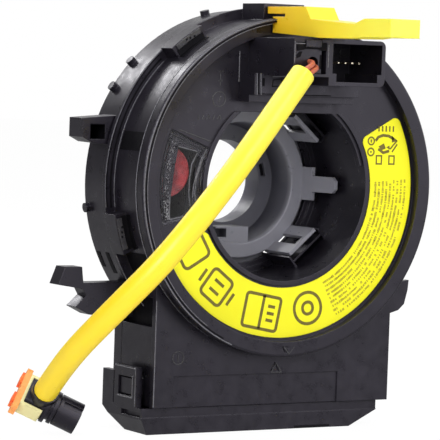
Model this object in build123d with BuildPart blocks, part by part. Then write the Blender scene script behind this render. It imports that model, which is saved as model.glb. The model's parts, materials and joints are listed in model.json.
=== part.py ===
from build123d import *
from math import cos, radians, sin, tan
import os

# Steering clock spring: a stator that stays with the column and a rotor that turns with the wheel,
# joined inside by a flat cable that turns back round a roller.
# Frame: X across the car, Y along the column away from the driver, Z up.
# The origin lies on the turning axis, level with the rotor's face. All lengths are millimetres.

# ---- rotor: disc, rim and the sleeve that the flat cable winds on ----
hole_r = 29.5
disc_width = 19.1
disc_clearance = 0.5
rim_width = 4.7
rim_rise = 3.0
rim_edge_fillet = 0.8
rim_back = 0.9
face_thickness = 2.2
lip_width = 1.5
lip_rise = 0.8
sleeve_wall = 1.9
chord_inset = 6.1
chord_shoulder_inset = 1.1
chord_shoulder_angles = (14, 60)
index_mark_size = 3.2
index_mark_depth = 0.35

# ---- ledge and arm guides inside the sleeve of the rotor ----
ledge_width = 3.3
ledge_step_width = 1.7
ledge_step_rise = 0.9
ledge_thickness = 1.5
ledge_gap = 0.9
guide_end_gap = 0.5
guide_inset = 4.9
guide_chord_inset = 3.1
guide_wall = 0.7

# ---- lock pocket in the rim ----
pocket_left_margin = 7.4
pocket_skin = 0.9
pocket_inset = 0.7

# ---- window over the roller ----
window_angles = (157.4, 195.5)
window_inner_margin = 1.5
window_outer_margin = 2.8
window_ledge = 1.4
window_lens_thickness = 1.4
seat_clearance = 0.15
window_frame_width = 0.7
window_frame_rise = 0.25

# ---- label ----
label_inner_margin = 2.2
label_outer_margin = 1.1
label_angles = (-155.0, 29.5)
label_thickness = 0.2
label_corner_r = 2.2

# ---- flat cable, roller carrier and rollers ----
cable_front_y = 5.0
cable_width = 16.0
outer_winding = 0.55
inner_winding = 2.75
ribbon_thickness = 0.3
cable_seat = 0.15
cable_gap = 0.3
turn_tail_angle = 14.0
roller_count = 6
roller_wall = 1.2
roller_overhang = 1.4
roller_carrier_gap = 0.4
first_roller_angle = 174.0
roller_pin_r = 1.9
roller_pin_clearance = 0.09
carrier_cable_gap = 0.6
carrier_thickness = 2.0
carrier_margin = 1.2
roller_pin_stand = 0.6
roller_web_offset = 7.4

# ---- stator: front case ----
case_inset = 2.1
case_wall = 1.8
case_gap = 0.3
case_front_gap = 0.4
flange_width = 3.25
case_flange_y = 16.0
case_flange_thickness = 1.6
case_skirt_room = 0.4

# ---- stator: rear case ----
drum_gap = 0.5
drum_wall = 1.9
drum_floor = 2.0
carrier_room = 4.9
rear_hole_clearance = 0.35
rear_rib_count = 12
rear_rib_height = 0.9
rear_rib_margins = (6.6, 3.4)
rear_rib_width = 1.4
guide_ring_width = 1.8

# ---- box below the drum ----
plate_front_y = 3.0
plate_thickness = 2.0
plate_side_inset = 11.4
plate_trim_right = 0.4
plate_top_inset = 23.5
box_drop = 13.5
box_inset = 1.0
box_wall = 2.0
box_split_room = 1.5
box_split_gap = 0.3
clip_tab_outline = [(-0.6, -1.5), (6.9, -0.5), (6.6, -3.8), (5.4, -8.3), (3.2, -10.3), (-0.6, -11.4)]
recess_drop = 5.5
recess_height = 9.0
recess_depth = 2.2
panel_margins = (7.0, 19.6)
panel_height = 9.7
panel_depth = 0.5
plate_mark_size = 3.4
plate_mark_lift = 11.5
plate_mark_depth = 0.3

# ---- lower shroud ----
shroud_overhang_left = 3.2
shroud_inset_right = 3.4
shroud_front_y = 4.0
shroud_back_inset = 1.0
shroud_top_gap = 0.2
shroud_height = 8.1
shroud_wall = 2.0
shroud_band = 2.8
shroud_step = 0.4
shroud_right_cut = (10.5, 5.2)
shroud_left_cut = (2.0, 4.6)
shroud_rear_cut = (11.5, 6.6)
slot_span = (8.8, 22.2)
slot_height = 0.9
slot_depth = 3.0

# ---- side snaps that hold the shroud ----
snap_height = 12.4
snap_front_y = 8.0
snap_length = 14.0
snap_plate = 2.0
snap_window_margin = 2.6
snap_window_height = 6.0
snap_window_top = 3.3
snap_foot = 1.2
snap_recess_depth = 1.2
snap_recess_margins = (3.0, 5.0)
rear_snap_length = 7.0
rear_snap_height = 10.1
nib_rise = 3.6
nib_clearance = 0.5

# ---- case latches ----
latch_middles = (125.5, 196.0, 52.0, -17.0)
latch_span = 13.0
latch_rise = 3.9
latch_length = 7.0
latch_slot_rise = (1.1, 2.7)
latch_slot_margin = 2.2
latch_slot_depth = 5.0

# ---- brackets on the drum: across from the drum's left side, and height ----
bracket_setback = 0.8
bracket_clearance = 0.4
loop_depth = 9.0
loop_outline = [(7.4, 21.2), (-7.8, 19.9), (-7.8, 14.0), (-4.6, 12.4), (5.4, 11.5)]
loop_window = (-5.2, 0.0, 13.4, 18.1)
hook_depth = 6.0
hook_root_z = (-30.9, -42.0)
hook_outline = [
    (-5.9, -31.1),
    (-6.5, -26.1),
    (-12.4, -26.05),
    (-14.6, -31.6),
    (-5.9, -33.0),
    (-4.7, -35.1),
    (-8.5, -38.5),
    (-3.5, -41.0),
]
lug_margins = (1.1, 3.3)
lug_front_y = 3.3
lug_rise = 4.4
rim_pin_angles = (105.5, 137.5, 148.0, -171.5)
rim_pin_r = 1.5
rim_pin_rise = 1.5
rim_pin_inset = 1.9

# ---- connector tower on the rotor: heights are drops from its top ----
tower_rim_gap = 2.0
tower_left = -15.6
tower_right = 18.0
tower_front_y = -26.0
tower_split_x = -2.7
lead_bay_drop = 11.6
socket_drop = 14.2
tower_corner_r = 2.0
socket_wall = 1.3
socket_depth = 18.0
socket_step_drop = 10.4
socket_step_inset = 1.5
bay_depth = 21.0
bay_wall_left = 0.8
bay_wall_right = 1.1
bay_wall_bottom = 0.9
bay_wall_top = 1.2
plinth_margins = (3.0, 2.0)
plinth_drop = 17.8
plinth_front_y = -9.0
plinth_ledge_drop = 20.0
plinth_ledge_front_y = -6.0
rim_clearance = 0.25

# ---- socket pins ----
pin_count = 6
pin_pitch = 2.6
pin_row_drop = 7.0
pin_row_shift = 0.95
pin_side = 0.64
pin_length = 11.0
pin_tail = 3.0

# ---- lead plug in the left bay ----
plug_clearance = 0.12
plug_setback = 0.6
plug_length = 19.0
plug_right_gap = 1.4
plug_shoulder_drop = 2.7
shoulder_thickness = 0.9
latch_margins = (3.9, 0.4)
latch_drop = 0.2
wire_hole_shift = 1.0
wire_hole_drop = 7.4
wire_hole_r = 1.9
wire_hole_depth = 7.0

# ---- yellow transit lock: heights are measured from the rotor's outer radius ----
lock_left = -7.5
lock_width = 10.5
lock_notch_clearance = 0.4
arm_end_y = 2.7
arm_rise = (0.9, 3.1)
arm_root_y = -7.4
body_back_y = -0.5
handle_end_y = -65.3
lock_edge_fillet = 0.5
lock_top_outline = [(-19.0, 3.1), (-22.0, -0.7), (-46.0, -2.1), (-51.0, -0.5)]
lock_bottom_outline = [(-51.0, -6.0), (-46.0, -6.4), (-27.0, -6.4), (-0.5, -5.0)]

# ---- cancel sleeve (grey hub) ----
hub_bore_r = 13.5
hub_step_width = 5.1
hub_ring_inset = 5.0
hub_ring_width = 4.9
hub_ring_length = 3.4
hub_step_depth = 7.4
hub_bore_length = 8.1
hub_tube_wall = 2.6
hub_flange_overhang = 3.6
hub_flange_thickness = 1.6
hub_flange_gap = 0.5
hub_floor_thickness = 2.0
hub_rim_fillet = 0.5
hub_slot_margins = (0.9, 2.7)
hub_slot_angles = ((6.0, 22.0), (27.0, 40.0))
hub_slot_depth = 1.2
arm_middles = (49.0, -49.0)
arm_half_width = 6.1
arm_inset = 0.9
arm_thickness = 1.2
arm_length = 13.6
arm_root = 1.8
arm_window_width = 3.8
arm_window_end = 1.6
arm_opening_inset = 1.1
finger_width = 5.2
finger_root_width = 10.8
finger_root_length = 4.5
finger_extra_length = 1.0
finger_spread = 3.2
finger_chamfer = 1.3
key_block_x = (-8.5, 3.9)
key_block_height = 5.3
key_block_setback = 0.5
key_notch_width = 4.1
key_notch_height = 2.8
key_notch_lift = 1.9
key_notch_depth = 4.0

# ---- vehicle-side sockets at the back of the box ----
bay_side_margins = (6.0, 7.6)
bay_middle_spans = (-12.0, -8.0, 12.0, 16.0)
bay_floor_lift = 3.7
bay_drum_gap = 2.0
bay_wall = 1.3
bay_clearance = 0.15
bay_key_width = 4.0
bay_key_rise = 0.9
vehicle_base_inset = 10.0
vehicle_base_thickness = 1.5
vehicle_socket_reach = 4.5
vehicle_pins_per_bay = 3
vehicle_pin_pitch = 4.0
vehicle_pin_length = 8.0

# ---- airbag lead: wires, sleeve and its plug ----
sleeve_od = 7.5
sleeve_bore = 5.6
wire_od = 1.55
sleeve_route = [
    (-16.6, -33.0, 35.8),
    (-27.6, -36.5, 24.3),
    (-39.7, -39.0, 10.6),
    (-47.8, -40.0, 1.4),
    (-57.6, -40.0, -9.9),
    (-66.1, -37.0, -21.0),
    (-73.0, -31.0, -30.8),
    (-77.3, -23.0, -39.4),
    (-78.9, -12.0, -47.6),
    (-78.2, 0.2, -55.7),
    (-76.4, 12.1, -63.4),
]
wire_turn_y = -29.8
wire_spread = (0.65, 0.0, -0.65)

# ---- plug of the airbag lead ----
lead_entry = 6.95
plug_axis = (0.815, -0.403, -0.417)
squib_body_width = 8.6
squib_body_height = 8.0
squib_body_back = -4.6
squib_body_front = 3.4
squib_fillet = 1.0
squib_boss_r = 4.2
squib_ring_r = (5.8, 5.2)
squib_ring_width = 1.1
squib_neck_r = 4.5
nose_r = 5.0
nose_start = 6.0
nose_end = 13.2
nose_slot_width = 1.6
nose_slot_depth = 0.8
contact_pitch = 3.0
contact_r = 0.55
contact_depth = 5.0
clip_thickness = 0.9
clip_width = 6.4
clip_arm_length = 6.4
clip_gap = 0.25
cpa_length = 14.6
cpa_width = 6.0
cpa_thickness = 1.8
cpa_pad = (4.2, 3.4, 0.9)
cpa_pad_pitch = 7.4

# radii worked out from the hole outwards
sleeve_r = hole_r + sleeve_wall
rim_inner_r = hole_r + disc_width
rotor_r = rim_inner_r + rim_width
hole_chord_z = hole_r - chord_inset
window_r = (hole_r + window_inner_margin, rim_inner_r - window_outer_margin)
label_r = (hole_r + label_inner_margin, rim_inner_r - label_outer_margin)
case_bore_r = rotor_r - case_inset
case_outer_r = case_bore_r + case_wall
case_flange_r = case_outer_r + flange_width
disc_r = case_bore_r - disc_clearance
drum_bore_r = case_outer_r + drum_gap
drum_r = drum_bore_r + drum_wall
rear_hole_r = sleeve_r + rear_hole_clearance
rear_rib_r = (sleeve_r + rear_rib_margins[0], drum_r - rear_rib_margins[1])
latch_slot_r = (case_outer_r + latch_slot_rise[0], case_outer_r + latch_slot_rise[1])

# the flat cable and its rollers fill the space between sleeve and case
winding_r = case_bore_r - cable_seat
inner_winding_r = sleeve_r + cable_seat + inner_winding
turn_outer_r = winding_r - outer_winding - cable_gap
turn_inner_r = inner_winding_r + cable_gap
roller_orbit_r = (turn_outer_r + turn_inner_r) / 2
turn_r = (turn_outer_r - turn_inner_r) / 2
roller_r = turn_r - ribbon_thickness - cable_gap
guide_ring_r = (roller_orbit_r - guide_ring_width / 2, roller_orbit_r + guide_ring_width / 2)

# depths along the column
cable_back_y = cable_front_y + cable_width
carrier_y = cable_back_y + carrier_cable_gap
carrier_end_y = carrier_y + carrier_thickness
roller_front_y = cable_front_y - roller_overhang
roller_back_y = carrier_y - roller_carrier_gap
roller_web_y = roller_front_y + roller_web_offset
case_front_y = rim_back + case_front_gap
case_skirt_end = carrier_end_y + case_skirt_room
drum_start_y = case_flange_y + case_flange_thickness
drum_inner_y = carrier_end_y + carrier_room
drum_end_y = drum_inner_y + drum_floor
bracket_y = drum_start_y + bracket_setback
rim_pin_y = drum_end_y - rim_pin_inset

# box, shroud and snaps
plate_left = plate_side_inset - drum_r
plate_right = drum_r - plate_side_inset - plate_trim_right
plate_top_z = plate_top_inset - case_outer_r
plate_bottom_z = -drum_r - box_drop
box_left = plate_left + box_inset
box_right = plate_right - box_inset
box_split_y = case_skirt_end + box_split_room
box_back_start_y = box_split_y + box_split_gap
box_inside = (box_left + box_wall, box_right - box_wall, plate_bottom_z + box_wall, plate_top_z)
recess_top_z = plate_top_z - recess_drop
recess_bottom_z = recess_top_z - recess_height
recess_inner_x = box_left + recess_depth + box_wall
shroud_left = plate_left - shroud_overhang_left
shroud_right = plate_right - shroud_inset_right
shroud_back_y = drum_end_y - shroud_back_inset
shroud_top_z = plate_bottom_z - shroud_top_gap
shroud_step_z = shroud_top_z - shroud_band
base_z = shroud_top_z - shroud_height
snap_top_z = shroud_top_z + snap_height
snap_window_y = (snap_front_y + snap_window_margin, snap_front_y + snap_length - snap_window_margin)
snap_window_z = (snap_top_z - snap_window_top - snap_window_height, snap_top_z - snap_window_top)
nib_y = (snap_window_y[0] + nib_clearance, snap_window_y[1] - nib_clearance)
nib_z = (snap_window_z[0] + nib_clearance, snap_window_z[1] - nib_clearance)
hook_root_x = box_left - bracket_clearance

# vehicle sockets
bay_spans = (
    (plate_left + bay_side_margins[0], bay_middle_spans[0]),
    (bay_middle_spans[1], bay_middle_spans[2]),
    (bay_middle_spans[3], plate_right - bay_side_margins[1]),
)
bay_low_z = plate_bottom_z + bay_floor_lift
bay_high_z = -drum_r - bay_drum_gap
bay_opening = bay_wall + bay_clearance
vehicle_base_y = drum_end_y - vehicle_base_inset
vehicle_socket_end_y = drum_end_y + vehicle_socket_reach
vehicle_pin_z = (bay_low_z + bay_high_z) / 2

# connector tower and what it holds
tower_top_z = rim_inner_r - tower_rim_gap
lead_bay_bottom_z = tower_top_z - lead_bay_drop
socket_bottom_z = tower_top_z - socket_drop
socket_step_z = tower_top_z - socket_step_drop
socket_left = tower_split_x + socket_wall
socket_right = tower_right - socket_wall
plinth_left = tower_left - plinth_margins[0]
plinth_right = tower_right + plinth_margins[1]
plinth_bottom_z = tower_top_z - plinth_drop
bay_left = tower_left + bay_wall_left
bay_right = tower_split_x - bay_wall_right
bay_bottom_z = lead_bay_bottom_z + bay_wall_bottom
bay_top_z = tower_top_z - bay_wall_top
first_pin_x = (socket_left + socket_right) / 2 - pin_row_shift + (pin_count - 1) * pin_pitch / 2
pin_row_z = tower_top_z - pin_row_drop
plug_face_y = tower_front_y + plug_setback
plug_right = bay_right - plug_right_gap
plug_shoulder_z = tower_top_z - plug_shoulder_drop
latch_x = (bay_left + latch_margins[0], plug_right - latch_margins[1])
wire_hole_x = (bay_left + bay_right) / 2 + wire_hole_shift
wire_hole_z = tower_top_z - wire_hole_drop

# transit lock
lock_right = lock_left + lock_width
notch_left = lock_left - lock_notch_clearance
notch_right = lock_right + lock_notch_clearance
pocket_left = lock_left - pocket_left_margin
pocket_inner_z = rim_inner_r - pocket_inset

# hub, which seats on the end of the rotor's sleeve
hub_flange_y = drum_end_y + hub_flange_gap
hub_front_y = hub_flange_y - hub_ring_length
hub_step_y = hub_flange_y + hub_step_depth
hub_floor_end_y = hub_step_y + hub_floor_thickness
hub_end_y = hub_step_y + hub_bore_length
hub_ring_r = hole_r - hub_ring_inset
hub_recess_r = hub_ring_r - hub_ring_width
hub_flange_r = sleeve_r + hub_flange_overhang
arm_inner_x = hub_ring_r - arm_inset
arm_outer_x = arm_inner_x + arm_thickness
arm_end_depth = hub_front_y - arm_length
finger_length = arm_length + finger_extra_length
arm_opening_x = hole_r - arm_opening_inset
ledge_back_y = hub_flange_y - ledge_gap
ledge_front_y = ledge_back_y - ledge_thickness
guide_front_y = arm_end_depth - guide_end_gap
guide_half_width = arm_half_width + guide_end_gap
guide_x = hole_r - guide_inset
guide_chord_x = hole_r - guide_chord_inset


def facing(depth):
    """Plane that faces the driver at a given depth along the column."""
    return Plane.XZ.offset(-depth)


def draw_sector(r_in, r_out, start, end, mode=Mode.ADD):
    """Annular sector between two angles, drawn in the active sketch."""
    with BuildLine(mode=Mode.PRIVATE) as outline:
        outer = CenterArc((0, 0), r_out, start, end - start)
        inner = CenterArc((0, 0), r_in, start, end - start)
        Line(outer @ 0, inner @ 0)
        Line(outer @ 1, inner @ 1)
    make_face(outline.edges(), mode=mode)


def draw_polygon(points, mode=Mode.ADD):
    """Closed outline through the points, drawn in the active sketch."""
    with BuildLine(mode=Mode.PRIVATE) as outline:
        Polyline(*points, close=True)
    make_face(outline.edges(), mode=mode)


def draw_box(x0, x1, z0, z1, mode=Mode.ADD):
    """Rectangle between two corners, drawn in the active sketch."""
    with Locations(((x0 + x1) / 2, (z0 + z1) / 2)):
        Rectangle(x1 - x0, z1 - z0, mode=mode)


def draw_ring_section(r_in, r_out, y0, y1, mode=Mode.ADD):
    """Section of a turned ring, drawn with the radius along X and the axis along Y."""
    with Locations(((r_in + r_out) / 2, (y0 + y1) / 2)):
        Rectangle(r_out - r_in, y1 - y0, mode=mode)


def corner_radii(points):
    """Largest smooth bend at each inner point of a cord's route."""
    radii = []
    for before, here, after in zip(points, points[1:], points[2:]):
        first = Vector(*here) - Vector(*before)
        second = Vector(*after) - Vector(*here)
        turn = radians(first.get_angle(second))
        radii.append(0.45 * min(first.length, second.length) / tan(turn / 2))
    return radii


def save(part, name):
    """Name a finished piece and write it as its own STEP file."""
    part.label = name
    export_step(part, f"parts/{name}.step")


os.makedirs("parts", exist_ok=True)

# ---- rotor ----
with BuildPart() as rotor:
    with BuildSketch() as rotor_section:
        draw_ring_section(hole_r, disc_r, 0, face_thickness)
        draw_ring_section(rim_inner_r, rotor_r, -rim_rise, rim_back)
        draw_ring_section(hole_r, sleeve_r, 0, hub_flange_y)
        draw_ring_section(hole_r, hole_r + lip_width, -lip_rise, 0)
        draw_ring_section(hole_r - ledge_width, sleeve_r, ledge_front_y, ledge_back_y)
        draw_ring_section(hole_r - ledge_step_width, sleeve_r, ledge_front_y - ledge_step_rise, ledge_front_y)
    revolve(axis=Axis.Y)
    rim_edge = rotor.edges().filter_by(GeomType.CIRCLE).group_by(Axis.Y)[0].sort_by(SortBy.RADIUS)[-1]
    fillet(rim_edge, rim_edge_fillet)
    # the hole is closed by a chord at the top, and by a low shoulder beside it
    with BuildSketch(facing(0)):
        Circle(hole_r + lip_width / 2)
        draw_box(-hole_r, hole_r, -hole_r - lip_width, hole_chord_z, mode=Mode.SUBTRACT)
        draw_sector(hole_r - chord_shoulder_inset, hole_r + lip_width / 2, *chord_shoulder_angles)
    extrude(amount=-face_thickness)
    with BuildSketch(facing(0)):
        Circle(hole_r + lip_width + 0.1)
        draw_box(-rotor_r, rotor_r, -rotor_r, hole_chord_z, mode=Mode.SUBTRACT)
    extrude(amount=lip_rise, mode=Mode.SUBTRACT)
    # pocket in the rim for the transit lock, open upwards where the lock stands
    with BuildSketch(facing(-rim_rise)):
        Circle(rotor_r - pocket_skin)
        draw_box(-rotor_r, pocket_left, -rotor_r, rotor_r, mode=Mode.SUBTRACT)
        draw_box(notch_left, rotor_r, -rotor_r, rotor_r, mode=Mode.SUBTRACT)
        draw_box(-rotor_r, rotor_r, -rotor_r, pocket_inner_z, mode=Mode.SUBTRACT)
        draw_box(notch_left, notch_right, pocket_inner_z, rotor_r + 1)
    extrude(amount=-rim_rise, mode=Mode.SUBTRACT)
    # window opening with a ledge for the lens
    with BuildSketch(facing(0)):
        draw_sector(*window_r, *window_angles)
    extrude(amount=-window_lens_thickness, mode=Mode.SUBTRACT)
    with BuildSketch(facing(0)) as window_through:
        draw_sector(*window_r, *window_angles)
        offset(amount=-window_ledge, kind=Kind.INTERSECTION, mode=Mode.REPLACE)
    extrude(amount=-face_thickness - 1, mode=Mode.SUBTRACT)
    # triangular mark that shows the middle position
    with BuildSketch(facing(-rim_rise)):
        with Locations((0, -(rim_inner_r + rotor_r) / 2)):
            Triangle(a=index_mark_size, b=index_mark_size, c=index_mark_size, rotation=180)
            offset(amount=-0.55, mode=Mode.SUBTRACT)
    extrude(amount=-index_mark_depth, mode=Mode.SUBTRACT)
    # walls in the sleeve that guide the two snap arms of the hub
    with BuildSketch(facing(guide_front_y)):
        with Locations(*[Location((0, 0), middle) for middle in arm_middles]):
            draw_box(guide_x, hole_r + 1, -guide_half_width - guide_wall, guide_half_width + guide_wall)
            draw_box(guide_x, guide_chord_x, -guide_half_width, guide_half_width, Mode.SUBTRACT)
            draw_box(guide_chord_x + guide_wall, hole_r + 1, -guide_half_width, guide_half_width, Mode.SUBTRACT)
        Circle(hole_r + sleeve_wall / 2, mode=Mode.INTERSECT)
    extrude(amount=guide_front_y - ledge_back_y)
save(rotor.part, "rotor")

# ---- window lens ----
with BuildPart() as window_lens:
    with BuildSketch(facing(0)):
        draw_sector(*window_r, *window_angles)
        offset(amount=-seat_clearance, kind=Kind.INTERSECTION, mode=Mode.REPLACE)
    extrude(amount=-(window_lens_thickness - 0.02))
    with BuildSketch(facing(0)):
        draw_sector(*window_r, *window_angles)
        offset(amount=-seat_clearance, kind=Kind.INTERSECTION, mode=Mode.REPLACE)
        offset(amount=-window_frame_width, kind=Kind.INTERSECTION, mode=Mode.SUBTRACT)
    extrude(amount=window_frame_rise)
save(window_lens.part, "window_lens")

# ---- label ----
with BuildPart() as label:
    with BuildSketch(facing(0)) as label_outline:
        draw_sector(*label_r, *label_angles)
        fillet(label_outline.vertices(), label_corner_r)
    extrude(amount=label_thickness)
save(label.part, "label")

# ---- front case: ring wall, flange, front plate and walls of the box ----
with BuildPart() as front_case:
    with BuildSketch() as front_section:
        draw_ring_section(case_bore_r, case_outer_r, case_front_y, case_skirt_end)
        draw_ring_section(case_bore_r, case_flange_r, case_flange_y, drum_start_y)
    revolve(axis=Axis.Y)
    # the flange stops where the box begins
    with BuildSketch(facing(case_flange_y)):
        draw_box(-case_flange_r - 1, case_flange_r + 1, -case_flange_r - 1, plate_top_z)
        Circle(case_outer_r, mode=Mode.SUBTRACT)
    extrude(amount=case_flange_y - drum_start_y, mode=Mode.SUBTRACT)
    with BuildSketch(facing(plate_front_y)):
        draw_box(plate_left, plate_right, plate_bottom_z, plate_top_z)
        draw_polygon([(plate_right + x, plate_top_z + z) for x, z in clip_tab_outline])
        Circle(case_bore_r, mode=Mode.SUBTRACT)
    extrude(amount=-plate_thickness)
    # side walls and floor, with a recess below the drum on the left
    with BuildSketch(facing(plate_front_y)):
        draw_box(box_left, box_right, plate_bottom_z, plate_top_z)
        draw_box(*box_inside, Mode.SUBTRACT)
        draw_box(box_left, box_left + recess_depth, recess_bottom_z, recess_top_z, Mode.SUBTRACT)
        draw_box(box_left, recess_inner_x, recess_bottom_z - box_wall, recess_top_z + box_wall)
        draw_box(box_left, box_left + recess_depth, recess_bottom_z, recess_top_z, Mode.SUBTRACT)
        Circle(case_outer_r - 0.2, mode=Mode.SUBTRACT)
    extrude(amount=plate_front_y - box_split_y)
    # the drum of the rear case passes through the walls
    with BuildSketch() as drum_way:
        draw_ring_section(case_outer_r, drum_r + case_gap, drum_start_y, box_split_y + 1)
    revolve(axis=Axis.Y, mode=Mode.SUBTRACT)
    # inset panel and triangular mark on the front plate
    with BuildSketch(facing(plate_front_y)):
        draw_box(plate_left + panel_margins[0], plate_right - panel_margins[1],
                 plate_bottom_z, plate_bottom_z + panel_height)
    extrude(amount=-panel_depth, mode=Mode.SUBTRACT)
    with BuildSketch(facing(plate_front_y)):
        with Locations((0, plate_bottom_z + plate_mark_lift)):
            Triangle(a=plate_mark_size, b=plate_mark_size, c=plate_mark_size)
            offset(amount=-0.5, mode=Mode.SUBTRACT)
    extrude(amount=-plate_mark_depth, mode=Mode.SUBTRACT)
    # nib for the side snap
    with BuildSketch(Plane.YZ.offset(box_left)):
        draw_box(nib_y[0], nib_y[1], nib_z[0], nib_z[1])
    extrude(amount=-nib_rise)
    # case latches
    for middle in latch_middles:
        start = middle - latch_span / 2
        with BuildSketch(facing(case_flange_y - latch_length)):
            draw_sector(case_outer_r - 0.3, case_outer_r + latch_rise, start, start + latch_span)
        extrude(amount=-latch_length)
        with BuildSketch(facing(case_flange_y - latch_length)):
            draw_sector(*latch_slot_r, start + latch_slot_margin, start + latch_span - latch_slot_margin)
        extrude(amount=-latch_slot_depth, mode=Mode.SUBTRACT)
    # lug that takes the arm of the transit lock
    with BuildSketch(facing(lug_front_y)):
        draw_box(lock_left - lug_margins[0], lock_right + lug_margins[1],
                 case_bore_r + 0.5, case_outer_r + lug_rise)
        Circle(case_bore_r + 0.9, mode=Mode.SUBTRACT)
    extrude(amount=lug_front_y - case_flange_y)
save(front_case.part, "front_case")

# ---- rear case: drum, floor with the hub hole, brackets and back of the box ----
with BuildPart() as rear_case:
    with BuildSketch() as rear_section:
        draw_ring_section(drum_bore_r, drum_r, drum_start_y, drum_end_y)
        draw_ring_section(rear_hole_r, drum_r, drum_inner_y, drum_end_y)
        draw_ring_section(guide_ring_r[0], guide_ring_r[1], carrier_end_y + case_gap, drum_inner_y)
    revolve(axis=Axis.Y)
    with BuildSketch(facing(drum_end_y)):
        draw_box(box_left, box_right, plate_bottom_z, plate_top_z)
        Circle(drum_r - 0.5, mode=Mode.SUBTRACT)
    extrude(amount=drum_floor)
    with BuildSketch(facing(box_back_start_y)):
        draw_box(box_left, box_right, plate_bottom_z, plate_top_z)
        draw_box(*box_inside, Mode.SUBTRACT)
        Circle(drum_r - 0.5, mode=Mode.SUBTRACT)
    extrude(amount=box_back_start_y - drum_end_y)
    # openings for the vehicle sockets
    for left, right in bay_spans:
        with BuildSketch(facing(drum_end_y)):
            draw_box(left - bay_opening, right + bay_opening,
                     bay_low_z - bay_opening, bay_high_z + bay_opening)
        extrude(amount=drum_floor, mode=Mode.SUBTRACT)
    # stiffening ribs on the back of the drum
    for number in range(rear_rib_count):
        with BuildSketch(facing(drum_end_y)):
            with PolarLocations((rear_rib_r[0] + rear_rib_r[1]) / 2, 1, number * 360 / rear_rib_count + 15):
                Rectangle(rear_rib_r[1] - rear_rib_r[0], rear_rib_width)
        extrude(amount=-rear_rib_height)
    # pins round the drum
    for angle in rim_pin_angles:
        with BuildSketch(Plane(origin=(0, rim_pin_y, 0), x_dir=(0, 1, 0),
                               z_dir=(cos(radians(angle)), 0, sin(radians(angle)))).offset(drum_r - 0.5)):
            Circle(rim_pin_r)
        extrude(amount=rim_pin_rise + 0.5)
    # loop bracket and hook bracket on the left
    with BuildSketch(facing(bracket_y)):
        draw_polygon([(x - drum_r, z) for x, z in loop_outline])
        draw_box(loop_window[0] - drum_r, loop_window[1] - drum_r,
                 loop_window[2], loop_window[3], Mode.SUBTRACT)
        Circle(drum_r - 0.5, mode=Mode.SUBTRACT)
    extrude(amount=-loop_depth)
    with BuildSketch(facing(bracket_y)):
        draw_polygon([
            (hook_root_x, hook_root_z[0]),
            *[(x - drum_r, z) for x, z in hook_outline],
            (hook_root_x, hook_root_z[1]),
        ])
        Circle(drum_r - 0.5, mode=Mode.SUBTRACT)
    extrude(amount=-hook_depth)
save(rear_case.part, "rear_case")

# ---- vehicle connector at the back of the box ----
with BuildPart() as vehicle_connector:
    with BuildSketch(facing(vehicle_base_y)):
        draw_box(bay_spans[0][0] - bay_wall, bay_spans[-1][1] + bay_wall,
                 bay_low_z - bay_wall, bay_high_z + bay_wall)
    extrude(amount=-vehicle_base_thickness)
    for left, right in bay_spans:
        with BuildSketch(facing(vehicle_base_y)):
            draw_box(left - bay_wall, right + bay_wall, bay_low_z - bay_wall, bay_high_z + bay_wall)
        extrude(amount=vehicle_base_y - vehicle_socket_end_y)
        with BuildSketch(facing(vehicle_base_y + vehicle_base_thickness)):
            draw_box(left, right, bay_low_z, bay_high_z)
        extrude(amount=-(vehicle_socket_end_y - vehicle_base_y), mode=Mode.SUBTRACT)
        key_x = (left + right) / 2
        with BuildSketch(facing(vehicle_base_y + vehicle_base_thickness)):
            draw_box(key_x - bay_key_width / 2, key_x + bay_key_width / 2,
                     bay_high_z - bay_key_rise, bay_high_z + 0.2)
        extrude(amount=-(vehicle_socket_end_y - vehicle_base_y - vehicle_base_thickness - 1))
        with BuildSketch(facing(vehicle_base_y)):
            with Locations((key_x, vehicle_pin_z)):
                with GridLocations(vehicle_pin_pitch, 1, vehicle_pins_per_bay, 1):
                    Rectangle(pin_side, pin_side)
        extrude(amount=-vehicle_base_thickness, mode=Mode.SUBTRACT)
save(vehicle_connector.part, "vehicle_connector")

# ---- vehicle connector pins ----
vehicle_pin_number = 0
for left, right in bay_spans:
    for place in range(vehicle_pins_per_bay):
        vehicle_pin_number += 1
        pin_x = (left + right) / 2 + (place - (vehicle_pins_per_bay - 1) / 2) * vehicle_pin_pitch
        with BuildPart() as vehicle_pin:
            with BuildSketch(facing(vehicle_base_y - pin_tail)):
                with Locations((pin_x, vehicle_pin_z)):
                    Rectangle(pin_side, pin_side)
            extrude(amount=-(pin_tail + vehicle_base_thickness + vehicle_pin_length))
            chamfer(vehicle_pin.faces().sort_by(Axis.Y)[-1].edges(), pin_side / 4)
        save(vehicle_pin.part, f"vehicle_pin_{vehicle_pin_number}")

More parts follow.
